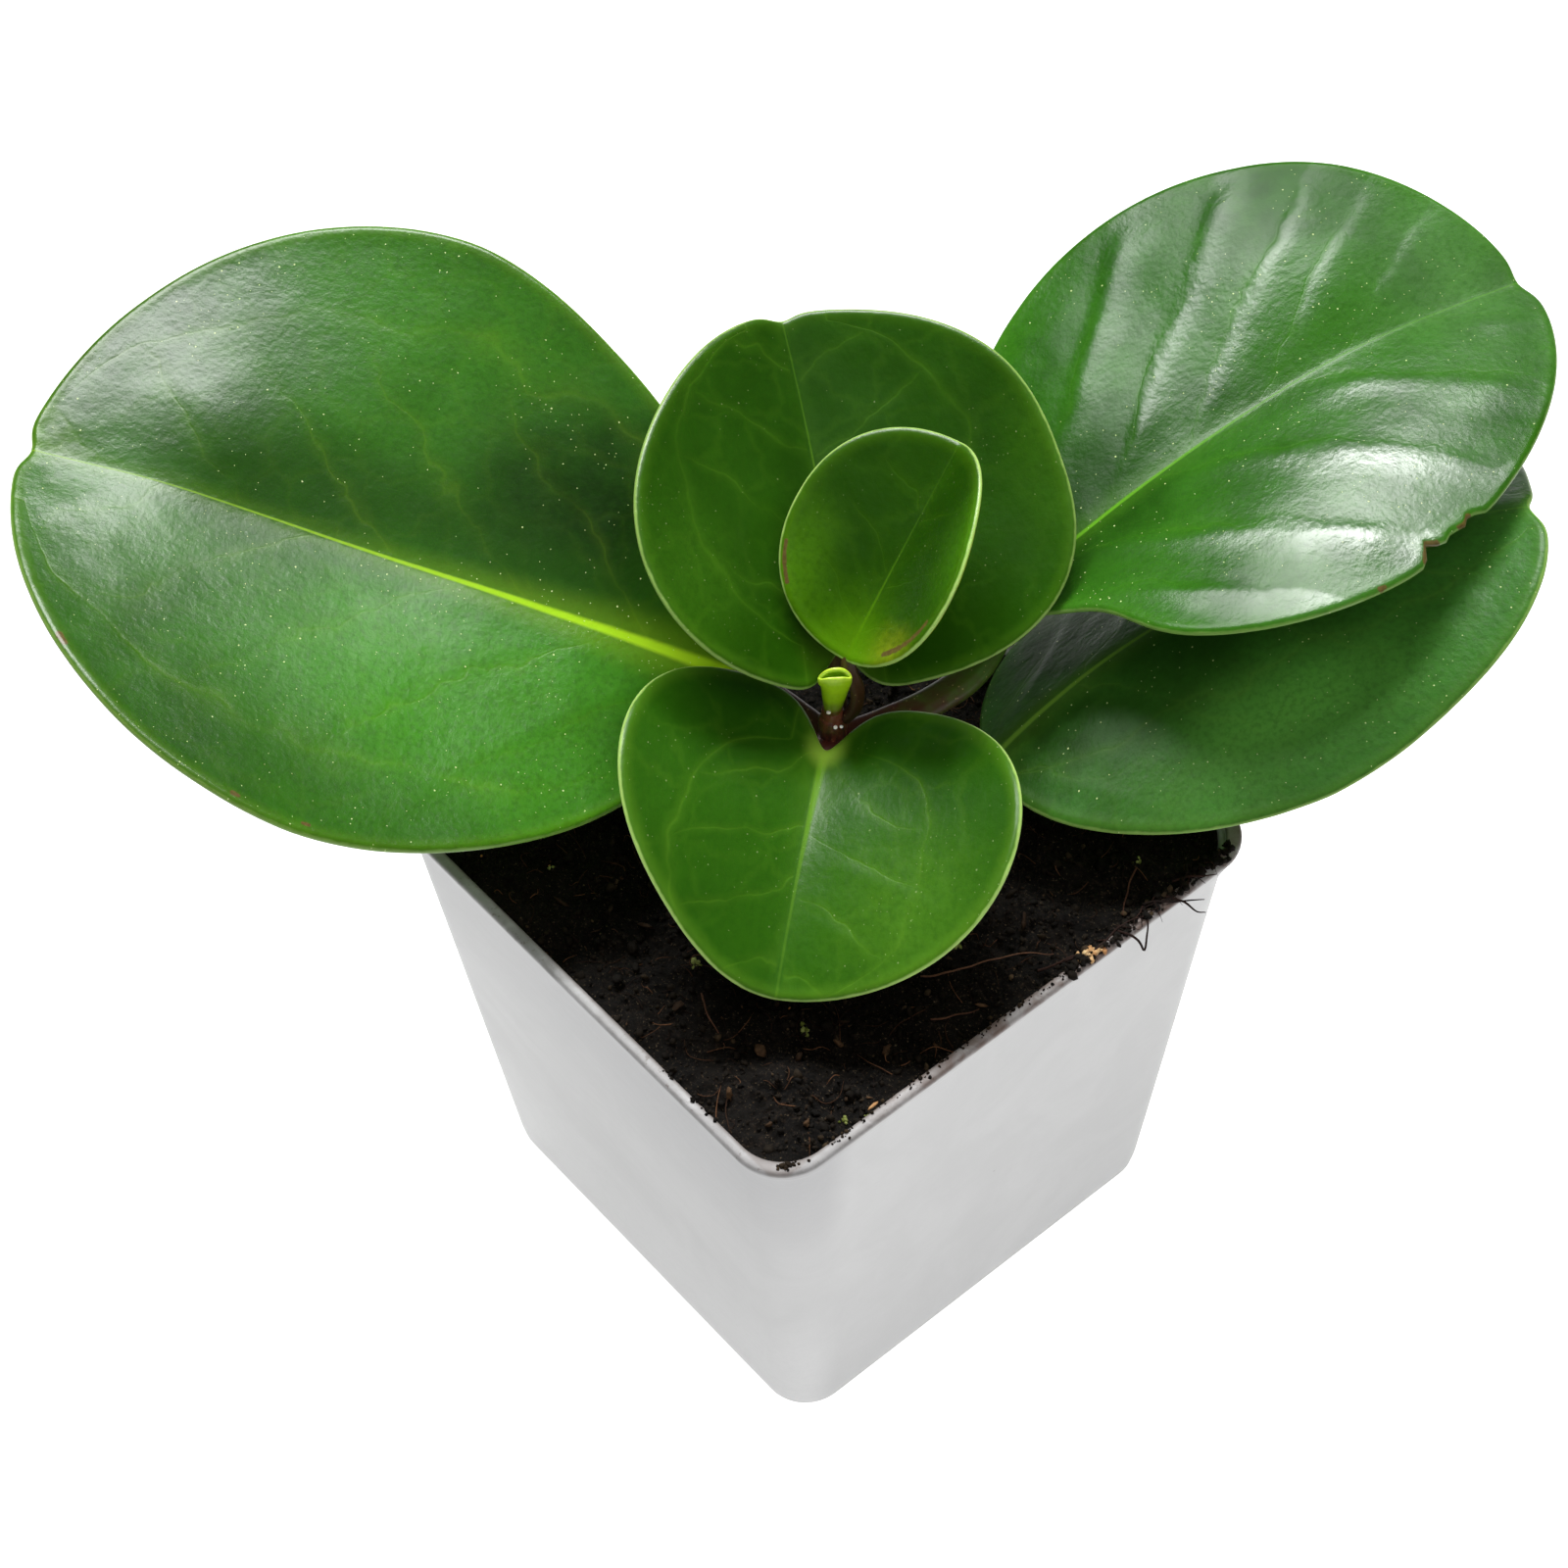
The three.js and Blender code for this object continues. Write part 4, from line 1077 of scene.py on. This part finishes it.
points, faces = pot_mesh()
pot = add_piece("square_pot", points, faces, [pot_material()], crease=50)
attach(pot, "root")
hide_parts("pot")


# Soil

def soil_height(x, y):
    """Level with low lumps, higher towards the corner at +X and +Y, and crumbly clods on it."""
    lumps = np.sin(x * 0.31 + 1.3) * np.cos(y * 0.27 - 0.4) + 0.6 * np.sin(x * 0.53 - y * 0.47 + 2)
    heap = np.maximum(0, (x + y) / 80 - 0.1)
    clods = 0.6 * rough(flat_places(x, y, 7.5), 2, 41) + 0.9 * np.abs(wobble(flat_places(x, y, 2.4), 43))
    clods = clods + 0.8 * np.abs(rough(flat_places(x, y, 1.1), 2, 47))
    edge = np.maximum(np.abs(x), np.abs(y))
    return SOIL_LEVEL + 0.8 * lumps + 1.6 * heap + clods * (1 - 0.45 * smooth(38, 43, edge))


def soil_material():
    f = Finish("peat", Specular_IOR_Level=0.12)
    at = f.place()
    f.colour = f.blend(f.step(f.noise(at, 6, 4, 0.7), 0.35, 0.7), (6, 5, 4), (18, 15, 12))
    # Brown specks, partly the peat's own bits and partly painted glints
    f.paint(f.step(f.noise(at, 0.9, 4, 0.7), 0.52, 0.74, 0, 0.6), (46, 36, 28))
    f.paint(f.step(f.noise(at, 0.35, 2, 0.7), 0.62, 0.72, 0, 0.6), (104, 90, 70))
    f.bump(f.noise(at, 0.7, 4, 0.75), 0.5)
    return f.finish(f.noise(at, 1.5).scaled(0.3, 0.6))


def soil_mesh(cells=250):
    """A fine grid pressed into the pot's rounded square, with a skirt down to the pot's floor."""
    line = np.linspace(-1, 1, cells + 1)
    u, v = np.meshgrid(line, line, indexing="ij")
    half = inner_half(SOIL_LEVEL) - SOIL_GAP
    ring = np.maximum(np.abs(u), np.abs(v))
    h = ring * half
    r = ring * (TOP_CORNER - WALL)
    along_x = np.abs(u) >= np.abs(v)
    lead = np.where(along_x, np.abs(v), np.abs(u)) * half
    inside = lead <= h - r
    phi = np.where(r > 1e-9, (lead - (h - r)) / np.maximum(r, 1e-9), 0) * math.pi / 4
    main = np.where(inside, h, h - r + r * np.cos(phi))
    other = np.where(inside, lead, h - r + r * np.sin(phi))
    x = np.sign(u) * np.where(along_x, main, other)
    y = np.sign(v) * np.where(along_x, other, main)
    z = soil_height(x, y)
    grow = 1 + ((inner_half(z) - SOIL_GAP) / half - 1) * ring
    points = np.stack([x * grow, y * grow, z], -1).reshape(-1, 3)
    index = np.arange((cells + 1) ** 2).reshape(cells + 1, cells + 1)
    faces = quads(index).tolist()
    loop = np.concatenate([index[:-1, 0], index[-1, :-1], index[:0:-1, -1], index[0, :0:-1]])
    top = points[loop]
    for low, inset in ((74, 0), (50, 0), (26, 0), (6, 0), (3.3, 1.2)):
        scale = (inner_half(low) - 0.15 - inset) / inner_half(SOIL_LEVEL)
        start = len(points)
        points = np.vstack([points, top * [scale, scale, 0] + [0, 0, low]])
        below = np.arange(start, start + len(top))
        faces += np.stack([loop, below, np.roll(below, -1), np.roll(loop, -1)], -1).tolist()
        loop = below
    centre = len(points)
    points = np.vstack([points, [[0, 0, low]]])
    faces += [[centre, int(b), int(a)] for a, b in zip(loop, np.roll(loop, -1))]
    return points, faces


points, faces = soil_mesh()
soil = add_piece("peat_bed", points, faces, [soil_material()])
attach(soil, "root")
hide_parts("soil")


# Loose bits, each a mesh with its tint, from 0 for the dark colour to 1 for the light one

def ball(level):
    made = bmesh.new()
    bmesh.ops.create_icosphere(made, subdivisions=level, radius=1.0)
    points = np.array([v.co[:] for v in made.verts])
    faces = [[v.index for v in f.verts] for f in made.faces]
    made.free()
    return points, faces


BALLS = {level: ball(level) for level in (1, 2)}
dice = np.random.default_rng(20)


def turn_matrix(flat):
    a, b, c = dice.uniform(0, 2 * math.pi, 3)
    tilt = Matrix.Rotation(0.5 * math.sin(b) if flat else b, 3, "X")
    return np.array(Matrix.Rotation(a, 3, "Z") @ tilt @ Matrix.Rotation(0 if flat else c, 3, "Y"))


def lump(centre, size, jag=0.35, level=1, flat=False):
    """Irregular grain about centre, size its three half-widths."""
    points, faces = BALLS[level]
    shaped = points * (1 + jag * dice.uniform(-1, 1, (len(points), 1))) * np.asarray(size)
    return shaped @ turn_matrix(flat).T + np.asarray(centre), faces


def crumb(centre, size, low=0.6, high=1.3, **form):
    """Lump whose half-widths are low to high times the size."""
    return lump(centre, size * dice.uniform(low, high, 3), **form)


def on_soil(x, y, rise=0.0):
    return [x, y, float(soil_height(np.array([x]), np.array([y]))[0]) + rise]


def soil_spot(reach=CRUMB_REACH):
    """A chance place in the pot's rounded square, clear of the stem."""
    while True:
        x, y = dice.uniform(-reach, reach, 2)
        past_x, past_y = abs(x) - SOIL_CORNER, abs(y) - SOIL_CORNER
        in_pot = past_x < 0 or past_y < 0 or math.hypot(past_x, past_y) < reach - SOIL_CORNER
        if in_pot and math.hypot(x - STEM_PLACE[0], y - STEM_PLACE[1]) > STEM_ROOM:
            return x, y


def strand(knots, radius, sides, count, wave):
    """Thin wavy tube that tapers towards its end."""
    path = spline(knots, count)
    path = path + wave * np.stack([wobble(path / 2.2 + k * 7.3, 60) for k in range(3)], -1)
    width = radius * (1 - 0.65 * np.linspace(0, 1, count) ** 2)
    return tube(path, width, width, sides)


def grain_material(name, dark, light, gloss):
    f = Finish(name, Specular_IOR_Level=0.14)
    at = f.place()
    f.colour = f.blend(f.attribute("tint", "Fac"), dark, light)
    f.paint(f.step(f.noise(at, 0.5, 3, 0.7), 0.35, 0.7, 0.5, 0), dark)
    f.bump(f.noise(at, 0.35, 3, 0.7), 0.12)
    return f.finish(f.noise(at, 0.6).scaled(0.15, gloss))


def scatter(name, bits, material_name, dark, light, gloss=0.7):
    """One piece of many small meshes, each with its own tint."""
    points, faces = join([part for part, _ in bits])
    tint = np.concatenate([np.full(len(part[0]), tint) for part, tint in bits])
    material = grain_material(material_name, dark, light, gloss)
    piece = add_piece(name, points, faces, [material], attributes={"tint": tint})
    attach(piece, "root")


# Peat crumbs all over the bed, dark with a few brown ones
bits = []
for _ in range(4200):
    x, y = soil_spot()
    size = 0.17 + 0.6 * dice.random() ** 3
    part = crumb(on_soil(x, y, 0.25 * size), size, 0.45, level=2 if size > 0.7 else 1)
    bits.append((part, 0.12 * dice.random() + (0.9 * dice.random() ** 2 if dice.random() < 0.13 else 0)))
# Peat that has spilled over the right-hand rim, and less of it further forward
for _ in range(260):
    y = dice.uniform(8, 41)
    x = dice.normal(44.1, 0.65) + 0.5 * wobble([y / 3, 0, 0], 3)
    size = 0.22 + 0.5 * dice.random() ** 2
    z = POT_HEIGHT + 0.2 * size + 0.5 * dice.random() if x > 43.6 else 83.2 + 0.6 * dice.random()
    if x > 45.9:
        x = 45.9
        z = dice.uniform(82.9, 84.2)
    if y > 37.6:
        x -= (y - 37.6) ** 2 * 0.09
    bits.append((crumb([x, y, z], size), 0.1 * dice.random() + (0.45 if dice.random() < 0.08 else 0)))
for _ in range(110):
    y = dice.uniform(-36, 10)
    size = 0.12 + 0.25 * dice.random() ** 2
    bits.append((crumb([dice.normal(44.4, 0.4), y, POT_HEIGHT + 0.3 * size], size), 0.5 * dice.random() ** 2))
# Crumbs on the left rim and at the front corner
for _ in range(26):
    x, y = dice.choice([21.5, 23.0, 26.5, 27.5, 30.0]) + dice.normal(0, 0.7), dice.normal(-44.0, 0.3)
    size = dice.uniform(0.15, 0.45)
    bits.append((crumb([x, y, 83.95 + 0.3 * size], size), 0.1 * dice.random()))
for _ in range(16):
    a = math.radians(-38 + dice.normal(0, 7))
    out = 7.4 + dice.normal(0, 0.3)
    size = dice.uniform(0.15, 0.4)
    x, y = 37.2 + out * math.cos(a), -37.2 + out * math.sin(a)
    bits.append((crumb([x, y, 83.95 + 0.3 * size], size), 0.6 * dice.random()))
scatter("peat_crumbs", bits, "peat_grains", (11, 9, 7), (84, 68, 48), 0.75)

# Bark chips and brown clods: place, size and height
CHIPS = [
    (28.0, -39.2, 1.5, 0.9), (29.3, -27.9, 1.3, 0.8), (-2.4, -29.3, 1.9, 0.6), (24.6, -31.0, 1.6, 0.8),
    (33.5, 10.2, 1.7, 0.6), (31.0, -22.0, 1.4, 0.7), (12.0, -35.5, 1.6, 0.5), (36.5, -18.0, 1.5, 0.5),
    (-13.0, -36.0, 1.9, 0.5), (38.0, -34.0, 1.1, 0.7), (35.5, -38.5, 1.0, 0.6), (20.5, -24.5, 1.2, 0.6),
]
bits = []
for x, y, size, tall in CHIPS:
    shape = [size * 0.8, size * dice.uniform(0.35, 0.6), tall * 0.5]
    bits.append((lump(on_soil(x, y, 0.3 * tall), shape, 0.4, 2), dice.uniform(0.15, 0.7)))
for _ in range(110):
    x, y = soil_spot()
    size = 0.35 + 0.9 * dice.random() ** 2
    shape = [size, size * dice.uniform(0.15, 0.35), 0.1 + 0.12 * size]
    bits.append((lump(on_soil(x, y, 0.15), shape, 0.3), dice.random() ** 2 * 0.7))
scatter("bark_chips", bits, "bark", (20, 14, 10), (100, 74, 50))

# Moss and pale grains
MOSS = [(26.9, -25.0, 0.9), (41.0, -29.5, 0.6), (42.6, -26.7, 0.5), (8.1, -28.5, 0.9), (29.2, 1.8, 0.8),
        (-20.0, -33.0, 0.5), (36.0, 30.0, 0.6), (-30.0, 25.0, 0.8), (-12.0, 38.0, 0.7), (20.0, 36.0, 0.5)]
bits = []
for x, y, size in MOSS:
    for _ in range(9):
        dx, dy = dice.normal(0, 0.45 * size, 2)
        grain = size * dice.uniform(0.3, 0.6)
        bits.append((crumb(on_soil(x + dx, y + dy, 0.5 * grain), grain, 0.7, 1.2, jag=0.3), dice.random()))
scatter("moss_bits", bits, "moss", (70, 78, 26), (150, 158, 92), 0.75)
bits = []
for _ in range(42):
    y = dice.normal(12.7, 1.1)
    size = dice.uniform(0.25, 0.55)
    centre = [dice.normal(44.4, 0.5), y, 84.05 + 0.5 * dice.random()]
    bits.append((crumb(centre, size, 0.7, 1.2, jag=0.3), dice.random()))
bits.append((lump([43.2, -26.4, 83.4], [1.1, 0.3, 0.25], 0.2, flat=True), 0.4))
for _ in range(14):
    x, y = soil_spot()
    size = dice.uniform(0.15, 0.32)
    bits.append((crumb(on_soil(x, y, 0.4 * size), size, 0.7, 1.2, jag=0.3), dice.random()))
scatter("pale_grains", bits, "pale_grit", (150, 96, 52), (208, 182, 136))

# Fibres in the soil
bits = []
for _ in range(620):
    x, y = soil_spot(FIBRE_REACH)
    heading = dice.uniform(0, 2 * math.pi)
    long = 1.5 + 6.0 * dice.random() ** 2
    bend = dice.normal(0, 0.8)
    knots = []
    for share, rise in ((-1 / 2, 0.3), (-1 / 6, 1), (1 / 6, 1), (1 / 2, 0.3)):
        px = x + math.cos(heading + bend * share) * long * share
        py = y + math.sin(heading + bend * share) * long * share
        px, py = np.clip([px, py], -CRUMB_REACH, CRUMB_REACH)
        knots.append(on_soil(px, py, 0.1 + 0.5 * dice.random() * rise))
    bits.append((strand(knots, dice.uniform(0.04, 0.1), 5, 10, 0.15), dice.random() ** 3 * 0.8))
scatter("peat_fibres", bits, "fibres", (20, 12, 8), (128, 88, 60))

# Roots on the soil: place and height over it
ROOTS = [
    [(37.3, 28.7, 0.6), (39.0, 25.6, 1.1), (40.8, 23.0, 0.9), (42.2, 21.0, 0.7)],
    [(30.5, -6.5, 0.4), (33.2, -3.0, 0.9), (35.6, 2.6, 0.7), (37.6, 6.6, 0.9), (39.9, 10.0, 0.6)],
    [(36.8, -10.5, 0.5), (38.6, -7.2, 0.8), (40.3, -4.6, 0.6)],
    [(12.0, -31.0, 0.4), (15.5, -33.0, 0.8), (20.5, -34.0, 0.5)],
    [(-24.0, -30.0, 0.4), (-28.0, -24.0, 0.8), (-30.0, -16.0, 0.5)],
    [(-18.0, 32.0, 0.4), (-10.0, 35.0, 0.9), (-2.0, 33.0, 0.6)],
    [(24.0, 34.0, 0.5), (29.0, 36.5, 0.9), (33.0, 34.0, 0.5)],
]
bits = []
for root in ROOTS:
    bits.append((strand([on_soil(*knot) for knot in root], 0.15, 7, 40, 0.3), dice.uniform(0.1, 0.6)))
scatter("pale_roots", bits, "root_skin", (58, 36, 26), (128, 92, 70), 0.55)

# Roots over the right-hand rim
LOOSE_ROOTS = [
    [(43.4, 17.5, 83.9), (45.4, 18.6, 84.5), (47.0, 19.6, 83.4), (47.6, 20.3, 81.2), (47.0, 21.2, 82.6),
     (45.8, 22.2, 84.2), (44.0, 23.4, 84.3)],
    [(43.5, 24.0, 84.2), (45.4, 26.2, 84.9), (46.6, 29.0, 84.4), (48.0, 31.4, 83.6)],
    [(44.2, 27.0, 84.3), (46.4, 28.6, 84.4), (48.4, 29.2, 83.4), (49.2, 30.6, 82.8)],
    [(43.0, 30.0, 84.0), (44.9, 33.0, 84.8), (46.2, 35.4, 84.3)],
    [(43.2, 9.0, 84.0), (44.8, 13.5, 84.7), (44.2, 19.0, 84.6), (45.3, 25.0, 84.6)],
    [(42.0, 34.0, 83.6), (44.2, 31.0, 84.6), (45.2, 27.5, 84.5), (44.0, 23.0, 84.6)],
    [(41.2, 5.5, 82.8), (43.4, 10.2, 84.2), (45.4, 14.8, 84.4)],
]
bits = [(strand(knots, 0.2, 6, 44, 0.35), dice.uniform(0, 0.3)) for knots in LOOSE_ROOTS]
for _ in range(30):
    y = dice.uniform(9, 38)
    out = dice.uniform(0.5, 3.0)
    start = np.array([43.6, y, 84.1])
    end = start + [out, dice.normal(0, 1.6), dice.normal(0.2, 0.4)]
    knots = [start, (start + end) / 2 + [0, 0, 0.5], end]
    bits.append((strand(knots, dice.uniform(0.05, 0.12), 5, 12, 0.3), 0.4 * dice.random()))
scatter("rim_roots", bits, "dark_root", (16, 10, 9), (84, 54, 42))

# Small drops of sap where the stem was nipped, coloured near white as painted glints: place and radius
DROPS = [(1.9, 3.0, 103.0, 0.34), (2.1, 3.9, 102.6, 0.3), (1.5, 3.3, 102.4, 0.22), (0.7, 2.85, 105.3, 0.36)]
f = Finish("sap", soft=(0.2, 0.0004, (1.0, 0.2, 0.1)), coat=(0.6, 0.03), Specular_IOR_Level=0.7)
white_glint_noise = f.noise(f.place(), 0.3)
f.colour = f.blend(white_glint_noise, (236, 226, 214), (250, 246, 238))
f.bump(white_glint_noise, 0.01)
points, faces = join([(BALLS[2][0] * [r, r, r * 0.8] + [x, y, z], BALLS[2][1]) for x, y, z, r in DROPS])
drops = add_piece("sap_drops_as_glints", points, faces, [f.finish(0.06)])
round_off = drops.modifiers.new("round", "SUBSURF")
round_off.levels = 1
round_off.render_levels = 1
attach(drops, "root")


# Stage

f = Finish("pale_floor", Specular_IOR_Level=0.1, Emission_Strength=0.9, Emission_Color=(1, 1, 1, 1))
f.colour = f.blend(f.noise(f.place(1.0), 0.5), (187, 187, 187), (190, 190, 190))
corners = [[4000 * x, 4000 * y, -0.01] for x, y in ((-1, -1), (1, -1), (1, 1), (-1, 1))]
floor = add_piece("floor", corners, [[0, 1, 2, 3]], [f.finish(0.9)])

# The sky is white to the camera, dim as a light and dimmer still in reflections
world = bpy.data.worlds.new("studio")
bpy.context.scene.world = world
world.use_nodes = True
tree = world.node_tree
tree.nodes.clear()
paths = tree.nodes.new("ShaderNodeLightPath")
strength = tree.nodes.new("ShaderNodeMix")
strength.inputs[2].default_value = 0.22
strength.inputs[3].default_value = 0.03
tree.links.new(paths.outputs["Is Glossy Ray"], strength.inputs[0])
seen = tree.nodes.new("ShaderNodeMix")
seen.inputs[3].default_value = 1.0
tree.links.new(paths.outputs["Is Camera Ray"], seen.inputs[0])
tree.links.new(strength.outputs[0], seen.inputs[2])
sky = tree.nodes.new("ShaderNodeBackground")
tree.links.new(seen.outputs[0], sky.inputs["Strength"])
sky_out = tree.nodes.new("ShaderNodeOutputWorld")
tree.links.new(sky.outputs[0], sky_out.inputs[0])


def area_light(name, azimuth, elevation, distance, size, power):
    """Soft box that looks at the plant. Azimuth is from +X towards +Y."""
    a, e = math.radians(azimuth), math.radians(elevation)
    way = Vector((math.cos(a) * math.cos(e), math.sin(a) * math.cos(e), math.sin(e)))
    lamp = bpy.data.lights.new(name, "AREA")
    lamp.shape = "RECTANGLE"
    lamp.size, lamp.size_y = size
    lamp.energy = power
    holder = bpy.data.objects.new(name, lamp)
    holder.location = Vector((0, 0, 0.1)) + way * distance
    holder.rotation_mode = "QUATERNION"
    holder.rotation_quaternion = (-way).to_track_quat("-Z", "Y")
    bpy.context.scene.collection.objects.link(holder)
    return holder


area_light("key", 153, 62, 1.2, (0.66, 0.46), 24)
area_light("side", 101, 59, 1.2, (0.15, 0.15), 1.3)
area_light("fill", -12, 58, 1.6, (1.2, 1.2), 11).visible_glossy = False

camera = bpy.data.objects.new("camera", bpy.data.cameras.new("camera"))
bpy.context.scene.collection.objects.link(camera)
towards_camera = Matrix()
for turn, axis in ((CAMERA_AZIMUTH + 90, "Z"), (90 - CAMERA_ELEVATION, "X"), (CAMERA_ROLL, "Z")):
    towards_camera = towards_camera @ Matrix.Rotation(math.radians(turn), 4, axis)
camera.matrix_world = towards_camera @ Matrix.Translation(Vector((*CAMERA_SHIFT, CAMERA_DISTANCE)) * MM)
camera.data.sensor_width = SENSOR
camera.data.lens = FOCAL_SHARE * SENSOR
camera.data.clip_start = 0.01
bpy.context.scene.camera = camera
bpy.context.scene.view_settings.view_transform = "Standard"
